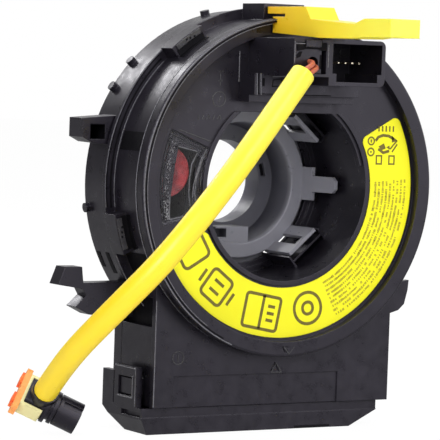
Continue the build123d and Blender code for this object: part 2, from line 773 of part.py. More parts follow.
# ---- lower shroud ----
with BuildPart() as bottom_shroud:
    with BuildSketch(Plane.YZ.offset(shroud_left)):
        draw_polygon([
            (shroud_front_y, shroud_top_z),
            (shroud_back_y, shroud_top_z),
            (shroud_back_y, base_z + shroud_rear_cut[1]),
            (shroud_back_y - shroud_rear_cut[0], base_z),
            (shroud_front_y, base_z),
        ])
    extrude(amount=shroud_right - shroud_left)
    lower_left = bottom_shroud.edges().filter_by(Axis.Y).group_by(Axis.Z)[0].sort_by(Axis.X)[0]
    lower_right = bottom_shroud.edges().filter_by(Axis.Y).group_by(Axis.Z)[0].sort_by(Axis.X)[-1]
    chamfer(lower_left, shroud_left_cut[0], shroud_left_cut[1])
    chamfer(lower_right, shroud_right_cut[0], shroud_right_cut[1])
    offset(amount=-shroud_wall, openings=bottom_shroud.faces().sort_by(Axis.Z)[-1])
    # the upper band of the front stands back a little
    with BuildSketch(facing(shroud_front_y)):
        draw_box(shroud_left, shroud_right, shroud_step_z, shroud_top_z)
    extrude(amount=-shroud_step, mode=Mode.SUBTRACT)
    # side snap with its window, and a plain upright behind it
    with BuildSketch(Plane.YZ.offset(shroud_left)):
        draw_box(snap_front_y, snap_front_y + snap_length, shroud_top_z - snap_foot, snap_top_z)
        draw_box(shroud_back_y - rear_snap_length, shroud_back_y,
                 shroud_top_z - snap_foot, shroud_top_z + rear_snap_height)
        draw_box(*snap_window_y, *snap_window_z, Mode.SUBTRACT)
    extrude(amount=snap_plate)
    # recess below the snap
    with BuildSketch(Plane.YZ.offset(shroud_left)):
        draw_box(snap_front_y - snap_recess_margins[0], snap_front_y + snap_length - snap_recess_margins[1],
                 shroud_step_z, shroud_top_z - snap_foot)
    extrude(amount=snap_recess_depth, mode=Mode.SUBTRACT)
    # slot along the lower front edge
    with BuildSketch(facing(shroud_front_y)):
        draw_box(slot_span[0], slot_span[1], base_z, base_z + slot_height)
    extrude(amount=-slot_depth, mode=Mode.SUBTRACT)
save(bottom_shroud.part, "bottom_shroud")

# ---- connector tower ----
with BuildPart() as connector_tower:
    with BuildSketch(facing(0)):
        draw_box(tower_left, tower_right, lead_bay_bottom_z, tower_top_z)
        draw_box(tower_split_x, tower_right, socket_bottom_z, tower_top_z)
    extrude(amount=-tower_front_y)
    fillet(connector_tower.edges().filter_by(Axis.Y).group_by(Axis.X)[-1], tower_corner_r)
    with BuildSketch(facing(0)):
        draw_box(plinth_left, plinth_right, plinth_bottom_z, lead_bay_bottom_z + 0.5)
    extrude(amount=-plinth_front_y)
    with BuildSketch(facing(0)):
        draw_box(plinth_left, plinth_right, tower_top_z - plinth_ledge_drop, plinth_bottom_z)
    extrude(amount=-plinth_ledge_front_y)
    # stay inside the rim of the rotor
    with BuildSketch(facing(0)):
        Circle(rotor_r + plinth_right)
        Circle(rim_inner_r - rim_clearance, mode=Mode.SUBTRACT)
    extrude(amount=rim_rise + rim_clearance, mode=Mode.SUBTRACT)
    # socket with a narrower lower step
    with BuildSketch(facing(tower_front_y)):
        draw_box(socket_left, socket_right, socket_step_z, tower_top_z - socket_wall)
        draw_box(socket_left + socket_step_inset, socket_right - socket_step_inset,
                 socket_bottom_z + socket_wall, socket_step_z)
    extrude(amount=-socket_depth, mode=Mode.SUBTRACT)
    # bay for the lead plug, with a notch over its latch
    with BuildSketch(facing(tower_front_y)):
        draw_box(bay_left, bay_right, bay_bottom_z, bay_top_z)
        draw_box(latch_x[0] - plug_clearance, latch_x[1] + plug_clearance, bay_top_z - 1, tower_top_z)
    extrude(amount=-bay_depth, mode=Mode.SUBTRACT)
    # holes for the pins in the socket floor
    for number in range(pin_count):
        with BuildSketch(facing(tower_front_y + socket_depth)):
            with Locations((first_pin_x - number * pin_pitch, pin_row_z)):
                Rectangle(pin_side, pin_side)
        extrude(amount=-pin_tail, mode=Mode.SUBTRACT)
save(connector_tower.part, "connector_tower")

# ---- socket pins ----
for number in range(pin_count):
    with BuildPart() as socket_pin:
        with BuildSketch(facing(tower_front_y + socket_depth + pin_tail)):
            with Locations((first_pin_x - number * pin_pitch, pin_row_z)):
                Rectangle(pin_side, pin_side)
        extrude(amount=pin_tail + pin_length)
        chamfer(socket_pin.faces().sort_by(Axis.Y)[0].edges(), pin_side / 4)
    save(socket_pin.part, f"socket_pin_{number + 1}")

# ---- lead plug ----
with BuildPart() as lead_plug:
    with BuildSketch(facing(plug_face_y)):
        draw_box(bay_left + plug_clearance, plug_right, bay_bottom_z + plug_clearance, plug_shoulder_z)
        draw_box(bay_left + plug_clearance, bay_right - plug_clearance,
                 plug_shoulder_z, plug_shoulder_z + shoulder_thickness)
        draw_box(latch_x[0], latch_x[1], plug_shoulder_z + shoulder_thickness, tower_top_z - latch_drop)
        with Locations((wire_hole_x, wire_hole_z)):
            Circle(wire_hole_r, mode=Mode.SUBTRACT)
    extrude(amount=-wire_hole_depth)
    with BuildSketch(facing(plug_face_y + wire_hole_depth)):
        draw_box(bay_left + plug_clearance, plug_right, bay_bottom_z + plug_clearance, plug_shoulder_z)
    extrude(amount=wire_hole_depth - plug_length)
save(lead_plug.part, "lead_plug")

# ---- transit lock ----
with BuildPart() as transit_lock:
    with BuildSketch(Plane.YZ.offset(lock_left)):
        draw_polygon([
            (arm_end_y, rotor_r + arm_rise[0]),
            (arm_end_y, rotor_r + arm_rise[1]),
            *[(y, rotor_r + rise) for y, rise in lock_top_outline],
            (handle_end_y, rotor_r + lock_top_outline[-1][1]),
            (handle_end_y, rotor_r + lock_bottom_outline[0][1]),
            *[(y, rotor_r + rise) for y, rise in lock_bottom_outline],
            (body_back_y, rotor_r),
            (arm_root_y, rotor_r),
            (arm_root_y, rotor_r + arm_rise[0]),
        ])
    extrude(amount=lock_width)
    handle_edges = transit_lock.faces().sort_by(Axis.Y)[0].edges()
    fillet(handle_edges, lock_edge_fillet)
save(transit_lock.part, "transit_lock")

# ---- cancel sleeve: the grey hub that the steering shaft goes through ----
with BuildPart() as cancel_sleeve:
    with BuildSketch() as hub_section:
        draw_polygon([
            (hub_recess_r, hub_front_y),
            (hub_ring_r, hub_front_y),
            (hub_ring_r, hub_flange_y),
            (hub_flange_r, hub_flange_y),
            (hub_flange_r, hub_flange_y + hub_flange_thickness),
            (hub_recess_r + hub_tube_wall, hub_flange_y + hub_flange_thickness),
            (hub_recess_r + hub_tube_wall, hub_floor_end_y),
            (hub_bore_r + hub_tube_wall, hub_floor_end_y),
            (hub_bore_r + hub_tube_wall, hub_end_y),
            (hub_bore_r, hub_end_y),
            (hub_bore_r, hub_step_y),
            (hub_bore_r + hub_step_width, hub_step_y),
        ])
    revolve(axis=Axis.Y)
    front_rim = cancel_sleeve.edges().filter_by(GeomType.CIRCLE).group_by(Axis.Y)[0]
    fillet(front_rim, hub_rim_fillet)
    # openings in the flange behind the snap arms
    with BuildSketch(facing(hub_flange_y)):
        with Locations(*[Location((0, 0), middle) for middle in arm_middles]):
            draw_box(arm_inner_x, arm_opening_x, -arm_half_width, arm_half_width)
        Circle(hub_ring_r, mode=Mode.SUBTRACT)
    extrude(amount=-hub_flange_thickness, mode=Mode.SUBTRACT)
    # two snap arms, each with a window that starts at the ring
    with BuildSketch(facing(arm_end_depth)):
        with Locations(*[Location((0, 0), middle) for middle in arm_middles]):
            draw_box(arm_inner_x, arm_outer_x, -arm_half_width, arm_half_width)
    extrude(amount=-arm_length - arm_root)
    with BuildSketch(facing(arm_end_depth + arm_window_end)):
        with Locations(*[Location((0, 0), middle) for middle in arm_middles]):
            draw_box(arm_inner_x - 0.1, arm_outer_x + 0.1, -arm_window_width / 2, arm_window_width / 2)
    extrude(amount=arm_end_depth + arm_window_end - hub_front_y, mode=Mode.SUBTRACT)
    with BuildSketch(facing(hub_front_y)):
        with Locations(*[Location((0, 0), middle) for middle in arm_middles]):
            draw_box(arm_inner_x, arm_outer_x + 0.1, -arm_window_width / 2, arm_window_width / 2)
        Circle(hub_ring_r, mode=Mode.SUBTRACT)
    extrude(amount=-arm_root, mode=Mode.SUBTRACT)
    # spring finger that spreads outwards from a wider root
    for width, length in ((finger_root_width, finger_root_length), (finger_width, finger_length)):
        spread = finger_spread * length / finger_length
        with BuildSketch(Plane.XY.offset(-width / 2)):
            draw_polygon([
                (arm_inner_x, hub_flange_y),
                (arm_inner_x, hub_front_y),
                (arm_inner_x + spread, hub_front_y - length),
                (arm_outer_x + spread, hub_front_y - length),
                (arm_outer_x, hub_front_y),
                (arm_outer_x, hub_flange_y),
            ])
        extrude(amount=width)
    finger_tip = cancel_sleeve.faces().sort_by(Axis.Y)[0].edges().filter_by(Axis.X)
    chamfer(finger_tip, finger_chamfer)
    # slots in the step ring
    for start, end in hub_slot_angles:
        with BuildSketch(facing(hub_step_y)):
            draw_sector(hub_bore_r + hub_slot_margins[0], hub_bore_r + hub_slot_margins[1], start, end)
        extrude(amount=-hub_slot_depth, mode=Mode.SUBTRACT)
    # key block across the lower part of the recess
    with BuildSketch(facing(hub_front_y + key_block_setback)):
        draw_box(key_block_x[0], key_block_x[1], -hub_ring_r, -hub_recess_r + key_block_height)
        Circle(hub_recess_r + 0.4, mode=Mode.INTERSECT)
    extrude(amount=hub_front_y + key_block_setback - hub_step_y)
    with BuildSketch(facing(hub_front_y + key_block_setback)):
        draw_box(key_block_x[0], key_block_x[0] + key_notch_width,
                 key_notch_lift - hub_recess_r, key_notch_lift - hub_recess_r + key_notch_height)
    extrude(amount=-key_notch_depth, mode=Mode.SUBTRACT)
save(cancel_sleeve.part, "cancel_sleeve")

# ---- flat cable: outer winding, turn round the first roller, inner winding ----
with BuildPart() as cable_outer_winding:
    with BuildSketch(facing(cable_front_y)):
        Circle(winding_r)
        Circle(winding_r - outer_winding, mode=Mode.SUBTRACT)
    extrude(amount=cable_front_y - cable_back_y)
save(cable_outer_winding.part, "cable_outer_winding")

with BuildPart() as cable_inner_winding:
    with BuildSketch(facing(cable_front_y)):
        Circle(inner_winding_r)
        Circle(sleeve_r + cable_seat, mode=Mode.SUBTRACT)
    extrude(amount=cable_front_y - cable_back_y)
save(cable_inner_winding.part, "cable_inner_winding")

with BuildPart() as cable_turn:
    with BuildSketch(facing(cable_front_y)):
        with Locations(Location((0, 0), first_roller_angle)):
            with Locations((roller_orbit_r, 0)):
                Circle(turn_r)
                Circle(turn_r - ribbon_thickness, mode=Mode.SUBTRACT)
                with Locations((0, turn_r)):
                    Rectangle(4 * turn_r, 2 * turn_r, mode=Mode.SUBTRACT)
        draw_sector(turn_outer_r - ribbon_thickness, turn_outer_r, first_roller_angle - 0.3,
                    first_roller_angle + turn_tail_angle)
        draw_sector(turn_inner_r, turn_inner_r + ribbon_thickness, first_roller_angle - 0.3,
                    first_roller_angle + turn_tail_angle)
    extrude(amount=cable_front_y - cable_back_y)
save(cable_turn.part, "cable_turn")

# ---- roller carrier and rollers ----
with BuildPart() as roller_carrier:
    with BuildSketch(facing(carrier_y)):
        Circle(turn_outer_r - carrier_margin)
        Circle(inner_winding_r + carrier_margin, mode=Mode.SUBTRACT)
    extrude(amount=-carrier_thickness)
    with BuildSketch(facing(carrier_y)):
        with PolarLocations(roller_orbit_r, roller_count, first_roller_angle):
            Circle(roller_pin_r)
    extrude(amount=carrier_y - roller_front_y + roller_pin_stand)
save(roller_carrier.part, "roller_carrier")

for number in range(roller_count):
    angle = first_roller_angle + number * 360 / roller_count
    with BuildPart() as roller:
        with BuildSketch(facing(roller_front_y)):
            with PolarLocations(roller_orbit_r, 1, angle):
                Circle(roller_r)
                Circle(roller_r - roller_wall, mode=Mode.SUBTRACT)
                Circle(roller_pin_r + roller_pin_clearance + roller_wall)
                Circle(roller_pin_r + roller_pin_clearance, mode=Mode.SUBTRACT)
        extrude(amount=roller_front_y - roller_back_y)
        with BuildSketch(facing(roller_web_y)):
            with PolarLocations(roller_orbit_r, 1, angle):
                Circle(roller_r - roller_wall / 2)
                Circle(roller_pin_r + roller_pin_clearance, mode=Mode.SUBTRACT)
        extrude(amount=-roller_wall)
    save(roller.part, f"roller_{number + 1}")

# ---- airbag lead: yellow sleeve with two wires inside ----
with BuildPart() as lead_sleeve:
    with BuildLine() as sleeve_path:
        FilletPolyline(*sleeve_route, radius=corner_radii(sleeve_route))
    with BuildSketch(Plane(origin=sleeve_path.wire() @ 0, z_dir=sleeve_path.wire() % 0)):
        Circle(sleeve_od / 2)
        Circle(sleeve_bore / 2, mode=Mode.SUBTRACT)
    sweep(path=sleeve_path.wire())
save(lead_sleeve.part, "lead_sleeve")
print("sleeve length", round(sleeve_path.wire().length, 1))
print("sleeve radii", [round(r, 1) for r in corner_radii(sleeve_route)])

wire_start = (wire_hole_x, plug_face_y + wire_hole_depth, wire_hole_z)
wire_turn = (wire_hole_x, wire_turn_y, wire_hole_z)
wire_route = [wire_start, wire_turn, *sleeve_route]
for number, side in enumerate((1, -1), start=1):
    with BuildPart() as lead_wire:
        with BuildLine() as wire_path:
            shifted = [tuple(Vector(*point) + Vector(*wire_spread) * side) for point in wire_route]
            FilletPolyline(*shifted, radius=corner_radii(wire_route))
        with BuildSketch(Plane(origin=wire_path.wire() @ 0, z_dir=wire_path.wire() % 0)):
            Circle(wire_od / 2)
        sweep(path=wire_path.wire())
        # both wires start and end square with the plug faces
        lead_wire_end = Plane(origin=sleeve_path.wire() @ 1, z_dir=sleeve_path.wire() % 1)
        split(bisect_by=lead_wire_end, keep=Keep.BOTTOM)
    save(lead_wire.part, f"lead_wire_{number}")
print("wire length", round(wire_path.wire().length, 1))

# ---- squib plug at the far end of the lead ----
lead_end = sleeve_path.wire() @ 1
lead_way = sleeve_path.wire() % 1
plug_way = Vector(*plug_axis).normalized()
plug_up = lead_way * -1 - plug_way * plug_way.dot(lead_way * -1)
plug_plane = Plane(origin=lead_end + lead_way * lead_entry, x_dir=plug_up, z_dir=plug_way)

with BuildPart() as squib_body:
    with BuildSketch(plug_plane.offset(squib_body_back)):
        RectangleRounded(squib_body_height, squib_body_width, squib_fillet)
    extrude(amount=squib_body_front - squib_body_back)
    with BuildSketch(plug_plane.offset(squib_body_front - 0.5)):
        Circle(squib_neck_r)
    extrude(amount=nose_start - squib_body_front + 1)
    for place, ring_r in enumerate(squib_ring_r):
        with BuildSketch(plug_plane.offset(squib_body_front + (2 * place - 1) * squib_ring_width)):
            Circle(ring_r)
        extrude(amount=squib_ring_width)
    with BuildSketch(plug_plane.offset(nose_start)):
        Circle(nose_r)
    extrude(amount=nose_end - nose_start)
    # boss that holds the end of the sleeve
    with BuildSketch(Plane(origin=lead_end, z_dir=lead_way)):
        Circle(squib_boss_r)
    extrude(amount=squib_body_height / 2)
    # guide slots on the nose and the holes of its two contacts
    with BuildSketch(plug_plane.offset(nose_end)):
        with Locations((nose_r, 0), (-nose_r, 0)):
            Rectangle(2 * nose_slot_depth, nose_slot_width)
    extrude(amount=nose_start - nose_end + 1, mode=Mode.SUBTRACT)
    with BuildSketch(plug_plane.offset(nose_end)):
        with Locations((0, contact_pitch / 2), (0, -contact_pitch / 2)):
            Circle(contact_r + 0.1)
    extrude(amount=-contact_depth, mode=Mode.SUBTRACT)
save(squib_body.part, "squib_body")

for number, side in enumerate((1, -1), start=1):
    with BuildPart() as squib_contact:
        with BuildSketch(plug_plane.offset(nose_end - contact_depth)):
            with Locations((0, side * contact_pitch / 2)):
                Circle(contact_r)
        extrude(amount=contact_depth - 1)
    save(squib_contact.part, f"squib_contact_{number}")

with BuildPart() as squib_clip:
    with BuildSketch(plug_plane.offset(squib_body_back - clip_thickness)):
        Rectangle(clip_width, squib_body_width + 2 * (clip_gap + clip_thickness))
    extrude(amount=clip_thickness)
    with BuildSketch(plug_plane.offset(squib_body_back)):
        with Locations((0, squib_body_width / 2 + clip_gap + clip_thickness / 2),
                       (0, -squib_body_width / 2 - clip_gap - clip_thickness / 2)):
            Rectangle(clip_width, clip_thickness)
    extrude(amount=clip_arm_length)
save(squib_clip.part, "squib_clip")

with BuildPart() as squib_lock_plate:
    with BuildSketch(plug_plane.offset(squib_body_back - clip_thickness - cpa_thickness)):
        RectangleRounded(cpa_width, cpa_length, 1)
    extrude(amount=cpa_thickness)
    with BuildSketch(plug_plane.offset(squib_body_back - clip_thickness - cpa_thickness)):
        with Locations((0, cpa_pad_pitch / 2), (0, -cpa_pad_pitch / 2)):
            Rectangle(cpa_pad[0], cpa_pad[1])
    extrude(amount=-cpa_pad[2])
save(squib_lock_plate.part, "squib_lock_plate")
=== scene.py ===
import json
import math

import bmesh
import bpy
from mathutils import Matrix, Vector


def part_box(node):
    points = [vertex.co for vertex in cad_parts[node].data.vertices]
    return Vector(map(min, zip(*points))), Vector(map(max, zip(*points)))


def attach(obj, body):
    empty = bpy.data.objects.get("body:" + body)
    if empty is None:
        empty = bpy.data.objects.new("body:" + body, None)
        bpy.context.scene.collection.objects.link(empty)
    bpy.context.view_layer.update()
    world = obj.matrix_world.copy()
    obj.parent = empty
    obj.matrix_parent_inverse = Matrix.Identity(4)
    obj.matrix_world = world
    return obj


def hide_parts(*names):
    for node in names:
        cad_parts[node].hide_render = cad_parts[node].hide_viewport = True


# Looks and surface details of the steering clock spring. Blender's lengths are metres; MM turns a millimetre size
# into metres. X runs to the driver's right, Y away from the driver, Z up, and the turning axis is the Y axis.

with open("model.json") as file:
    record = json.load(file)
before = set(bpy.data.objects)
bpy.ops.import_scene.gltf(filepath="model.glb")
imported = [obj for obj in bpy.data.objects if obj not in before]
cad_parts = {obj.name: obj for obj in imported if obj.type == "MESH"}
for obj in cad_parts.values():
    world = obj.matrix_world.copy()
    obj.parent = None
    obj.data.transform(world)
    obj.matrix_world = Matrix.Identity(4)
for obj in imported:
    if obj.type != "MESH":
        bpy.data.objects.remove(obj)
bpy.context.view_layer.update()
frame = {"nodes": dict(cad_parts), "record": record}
nodes = frame["nodes"]
scene = bpy.context.scene

MM = 0.001

# ---------------------------------------------------------------- planes and radii of the part, in millimetres
TOWER_FRONT_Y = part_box("connector_tower")[0][1] / MM
PLUG_FRONT_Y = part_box("lead_plug")[0][1] / MM
PLINTH_FRONT_Y = -9.0
SOCKET_WALL_Y = -8.0
RIM_FRONT_Y = -3.0
LABEL_FRONT_Y = -0.2
LENS_FRONT_Y = -0.02
FACE_Y = 0.0
CASE_FRONT_Y = 1.3
PLATE_FRONT_Y = 3.0
LATCH_FRONT_Y = 9.0
FLANGE_Y = 16.0
HUB_SLOT_FLOOR_Y = 39.6
SNAP_X = -47.2
BOX_RECESS_X = -40.8
RIM_R = 53.3
CASE_R = 53.0
DRUM_R = 55.4
FLANGE_R = 56.25
HUB_RECESS_R = 20.3
HUB_SLOTS_R = 15.65
LATCH_ANGLES = (125.5, 196.0, 52.0, -17.0)
SINK = 0.02


def standing(plane_y, rise):
    """Front and back depth of a detail that rises from a plane and is sunk a little into it."""
    return plane_y - rise, plane_y + SINK


def place_object(name, data):
    """Object of the data, linked into the scene."""
    obj = bpy.data.objects.new(name, data)
    scene.collection.objects.link(obj)
    return obj


# ---------------------------------------------------------------- camera
FRAME_PIXELS = 440.0


def aim_camera(azimuth, elevation, roll, focal_pixels, place):
    """Camera at the given angles, in degrees, with its focal length in pixels of the frame."""
    azimuth, elevation, roll = (math.radians(angle) for angle in (azimuth, elevation, roll))
    back = Vector((math.sin(azimuth) * math.cos(elevation), -math.cos(azimuth) * math.cos(elevation),
                   math.sin(elevation)))
    level = Vector((math.cos(azimuth), math.sin(azimuth), 0.0))
    upright = back.cross(level)
    across = math.cos(roll) * level + math.sin(roll) * upright
    upward = -math.sin(roll) * level + math.cos(roll) * upright
    data = bpy.data.cameras.new("camera")
    data.sensor_width = 36.0
    data.lens = data.sensor_width * focal_pixels / FRAME_PIXELS
    data.clip_start = 0.05
    data.clip_end = 20.0
    camera = place_object("camera", data)
    camera.matrix_world = Matrix.Translation(place) @ Matrix((across, upward, back)).transposed().to_4x4()
    scene.camera = camera


aim_camera(azimuth=-31.17, elevation=3.22, roll=2.03, focal_pixels=2700.0, place=(-0.456529, -0.715197, 0.036695))


# ---------------------------------------------------------------- materials
def new_material(name):
    """A node material with its Principled shader and output."""
    material = bpy.data.materials.new(name)
    material.use_nodes = True
    tree = material.node_tree
    tree.nodes.clear()
    output = tree.nodes.new("ShaderNodeOutputMaterial")
    shader = tree.nodes.new("ShaderNodeBsdfPrincipled")
    tree.links.new(shader.outputs["BSDF"], output.inputs["Surface"])
    return material, tree, shader


def feed(tree, socket, value):
    """Give an input its value, which is another node's output or a number."""
    if isinstance(value, bpy.types.NodeSocket):
        tree.links.new(value, socket)
    else:
        socket.default_value = value


def socket_by_id(sockets, identifier):
    """Socket with the identifier, for nodes whose sockets share a name."""
    return next(socket for socket in sockets if socket.identifier == identifier)


def math_node(tree, operation, first, second=0.0):
    """Math node; each input is a socket or a number."""
    node = tree.nodes.new("ShaderNodeMath")
    node.operation = operation
    for socket, value in zip(node.inputs, (first, second)):
        feed(tree, socket, value)
    return node.outputs["Value"]


def object_axis(tree, axis):
    """One object coordinate, in metres."""
    coords = tree.nodes.new("ShaderNodeTexCoord")
    split = tree.nodes.new("ShaderNodeSeparateXYZ")
    tree.links.new(coords.outputs["Object"], split.inputs["Vector"])
    return split.outputs[axis]


def noise(tree, scale, detail, roughness=0.5, stretch=(1.0, 1.0, 1.0)):
    """Noise in object coordinates; scale is in features per metre."""
    coords = tree.nodes.new("ShaderNodeTexCoord")
    mapping = tree.nodes.new("ShaderNodeMapping")
    mapping.inputs["Scale"].default_value = stretch
    texture = tree.nodes.new("ShaderNodeTexNoise")
    texture.inputs["Scale"].default_value = scale
    texture.inputs["Detail"].default_value = detail
    texture.inputs["Roughness"].default_value = roughness
    tree.links.new(coords.outputs["Object"], mapping.inputs["Vector"])
    tree.links.new(mapping.outputs["Vector"], texture.inputs["Vector"])
    return texture.outputs["Fac"]


def ramp(tree, source, stops):
    """Colour ramp on a value; each stop is a position and a colour or a grey level."""
    node = tree.nodes.new("ShaderNodeValToRGB")
    while len(node.color_ramp.elements) < len(stops):
        node.color_ramp.elements.new(0.5)
    for element, (position, colour) in zip(node.color_ramp.elements, stops):
        element.position = position
        element.color = (*colour, 1.0) if isinstance(colour, tuple) else (colour, colour, colour, 1.0)
    tree.links.new(source, node.inputs["Fac"])
    return node.outputs["Color"]


def mottled(tree, source, dark, light):
    """Colour that wanders between dark and light as a noise value does."""
    return ramp(tree, source, [(0.3, dark), (0.7, light)])


def mix_colours(tree, share, first, second, blend="MIX"):
    """Blend of two colour sockets."""
    node = tree.nodes.new("ShaderNodeMix")
    node.data_type = "RGBA"
    node.blend_type = blend
    for identifier, value in (("Factor_Float", share), ("A_Color", first), ("B_Color", second)):
        feed(tree, socket_by_id(node.inputs, identifier), value)
    return socket_by_id(node.outputs, "Result_Color")


def mix_shaders(tree, share, first, second):
    """Blend of two shader sockets."""
    node = tree.nodes.new("ShaderNodeMixShader")
    for socket, value in zip(node.inputs, (share, first, second)):
        tree.links.new(value, socket)
    return node.outputs["Shader"]


SOFT_EDGE = 0.3 * MM


def grain(tree, shader, scale, strength, depth, edge_radius=SOFT_EDGE):
    """Fine bump on softened edges, as a mould leaves them."""
    edge = tree.nodes.new("ShaderNodeBevel")
    edge.samples = 4
    edge.inputs["Radius"].default_value = edge_radius
    bump = tree.nodes.new("ShaderNodeBump")
    bump.inputs["Strength"].default_value = strength
    bump.inputs["Distance"].default_value = depth
    tree.links.new(noise(tree, scale, 2.0), bump.inputs["Height"])
    tree.links.new(edge.outputs["Normal"], bump.inputs["Normal"])
    tree.links.new(bump.outputs["Normal"], shader.inputs["Normal"])


def uneven_gloss(tree, shader, middle, swing, scale):
    """Roughness that wanders about a middle value."""
    tree.links.new(mottled(tree, noise(tree, scale, 5.0, 0.6), middle - swing, middle + swing),
                   shader.inputs["Roughness"])


GRAIN_SCALE = 2600.0
GRAIN_DEPTH = 0.04 * MM


def moulded(name, dark, light, gloss, patch=60.0, texture=0.25, specular=0.5, gloss_tint=(1.0, 1.0, 1.0)):
    """Moulded plastic: slow colour changes, fine grain, uneven gloss and softened edges."""
    material, tree, shader = new_material(name)
    tree.links.new(mottled(tree, noise(tree, patch, 4.0, 0.6), dark, light), shader.inputs["Base Color"])
    shader.inputs["Specular IOR Level"].default_value = specular
    shader.inputs["Specular Tint"].default_value = (*gloss_tint, 1.0)
    uneven_gloss(tree, shader, gloss, 0.10, patch * 4)
    grain(tree, shader, GRAIN_SCALE, texture, GRAIN_DEPTH)
    return material


def distance_from_axis(tree):
    """Distance from the turning axis."""
    across, along = object_axis(tree, "X"), object_axis(tree, "Z")
    return math_node(tree, "SQRT", math_node(tree, "ADD", math_node(tree, "MULTIPLY", across, across),
                                             math_node(tree, "MULTIPLY", along, along)))


def sleeve_plastic():
    """Grey plastic of the cancel sleeve, with painted shade darkening the wall of its recess."""
    material, tree, shader = new_material("grey plastic")
    colour = mottled(tree, noise(tree, 60.0, 4.0, 0.6), (0.215, 0.213, 0.250), (0.265, 0.263, 0.305))
    ramp_length = 50.0 * MM
    depth = math_node(tree, "DIVIDE", object_axis(tree, "Y"), ramp_length)
    # Painted shade: inside the recess the colour darkens with depth, most at about 38 mm deep, and lightens again
    # beyond.
    painted_recess_shade = ramp(tree, depth, [(0.560, (1.0, 1.0, 1.0)), (0.600, (0.42, 0.42, 0.45)), (0.757, (0.20, 0.20, 0.23)),
                                (0.775, (0.50, 0.50, 0.53)), (0.93, (0.85, 0.85, 0.88))])
    plain = ramp(tree, depth, [(0.0, (1.0, 1.0, 1.0)), (1.0, (1.0, 1.0, 1.0))])
    inside = math_node(tree, "LESS_THAN", distance_from_axis(tree), HUB_RECESS_R * MM)
    shade = mix_colours(tree, inside, plain, painted_recess_shade)
    tree.links.new(mix_colours(tree, 1.0, colour, shade, "MULTIPLY"), shader.inputs["Base Color"])
    uneven_gloss(tree, shader, 0.36, 0.10, 240.0)
    grain(tree, shader, GRAIN_SCALE, 0.25, GRAIN_DEPTH)
    return material


def lock_plastic():
    """Yellow lock: deep amber at its root, paling to lemon towards the handle end; the paling is painted light."""
    material, tree, shader = new_material("lock plastic")
    handle_end = -65.0 * MM
    reach = math_node(tree, "DIVIDE", object_axis(tree, "Y"), handle_end)
    wander = math_node(tree, "MULTIPLY", noise(tree, 90.0, 3.0), 0.14)
    place = math_node(tree, "SUBTRACT", math_node(tree, "ADD", reach, wander), 0.07)
    # Painted light: the colour pales along the lock towards the handle end, which stands in brighter light.
    stops = [(0.0, (1.0, 0.58, 0.018)), (0.25, (1.0, 0.68, 0.028)), (0.55, (0.99, 0.77, 0.04)),
             (0.86, (0.98, 0.88, 0.09))]
    tree.links.new(ramp(tree, place, stops), shader.inputs["Base Color"])
    shader.inputs["Subsurface Weight"].default_value = 0.35
    shader.inputs["Subsurface Radius"].default_value = (2.0 * MM, 1.4 * MM, 0.4 * MM)
    uneven_gloss(tree, shader, 0.34, 0.08, 260.0)
    grain(tree, shader, 2200.0, 0.10, 0.03 * MM, 0.4 * MM)
    return material


def sleeve_skin():
    """Soft yellow tube: a little paler higher up, as painted light, with fine marks along it."""
    material, tree, shader = new_material("sleeve skin")
    ramp_length = 100.0 * MM
    height = math_node(tree, "DIVIDE", object_axis(tree, "Z"), ramp_length)
    place = math_node(tree, "ADD", height, math_node(tree, "MULTIPLY", noise(tree, 45.0, 4.0), 0.5))
    # Painted light: the tube's colour pales with height, as if lit more from above.
    stops = [(0.0, (0.93, 0.68, 0.02)), (0.35, (0.93, 0.76, 0.03)), (0.62, (0.94, 0.82, 0.06))]
    tree.links.new(ramp(tree, place, stops), shader.inputs["Base Color"])
    uneven_gloss(tree, shader, 0.36, 0.09, 320.0)
    grain(tree, shader, 900.0, 0.16, 0.05 * MM)
    return material


def lens_plastic():
    """Clear moulded window with faint flow marks."""
    material, tree, shader = new_material("clear window")
    shader.inputs["Base Color"].default_value = (0.93, 0.93, 0.95, 1.0)
    shader.inputs["Transmission Weight"].default_value = 1.0
    shader.inputs["IOR"].default_value = 1.24
    uneven_gloss(tree, shader, 0.06, 0.04, 400.0)
    return material


def bright_metal(name, dark, light, gloss):
    """Plated contact metal with drawing marks."""
    material, tree, shader = new_material(name)
    shader.inputs["Metallic"].default_value = 1.0
    drawn = noise(tree, 900.0, 3.0, 0.6, stretch=(1.0, 0.1, 1.0))
    tree.links.new(mottled(tree, drawn, dark, light), shader.inputs["Base Color"])
    uneven_gloss(tree, shader, gloss, 0.08, 1500.0)
    return material


PLUG_AXIS = (0.815, -0.403, -0.417)
PAD_HEIGHT = 0.8 * MM


def pad_plastic():
    """Orange plastic of the plug's lock plate, redder on its two raised pads."""
    material, tree, shader = new_material("orange plastic")
    along = 0.0
    for axis, share in zip("XYZ", PLUG_AXIS):
        along = math_node(tree, "ADD", math_node(tree, "MULTIPLY", object_axis(tree, axis), share), along)
    start = min(vertex.co.dot(Vector(PLUG_AXIS)) for vertex in nodes["squib_lock_plate"].data.vertices)
    on_pad = math_node(tree, "LESS_THAN", along, start + PAD_HEIGHT)
    plate = mottled(tree, noise(tree, 300.0, 4.0, 0.6), (0.92, 0.30, 0.06), (0.96, 0.42, 0.12))
    pad = mottled(tree, noise(tree, 420.0, 4.0, 0.6), (0.92, 0.09, 0.006), (0.96, 0.20, 0.02))
    tree.links.new(mix_colours(tree, on_pad, plate, pad), shader.inputs["Base Color"])
    uneven_gloss(tree, shader, 0.34, 0.10, 1200.0)
    grain(tree, shader, GRAIN_SCALE, 0.25, GRAIN_DEPTH, 0.2 * MM)
    return material


TURN_PITCH = 0.55 * MM


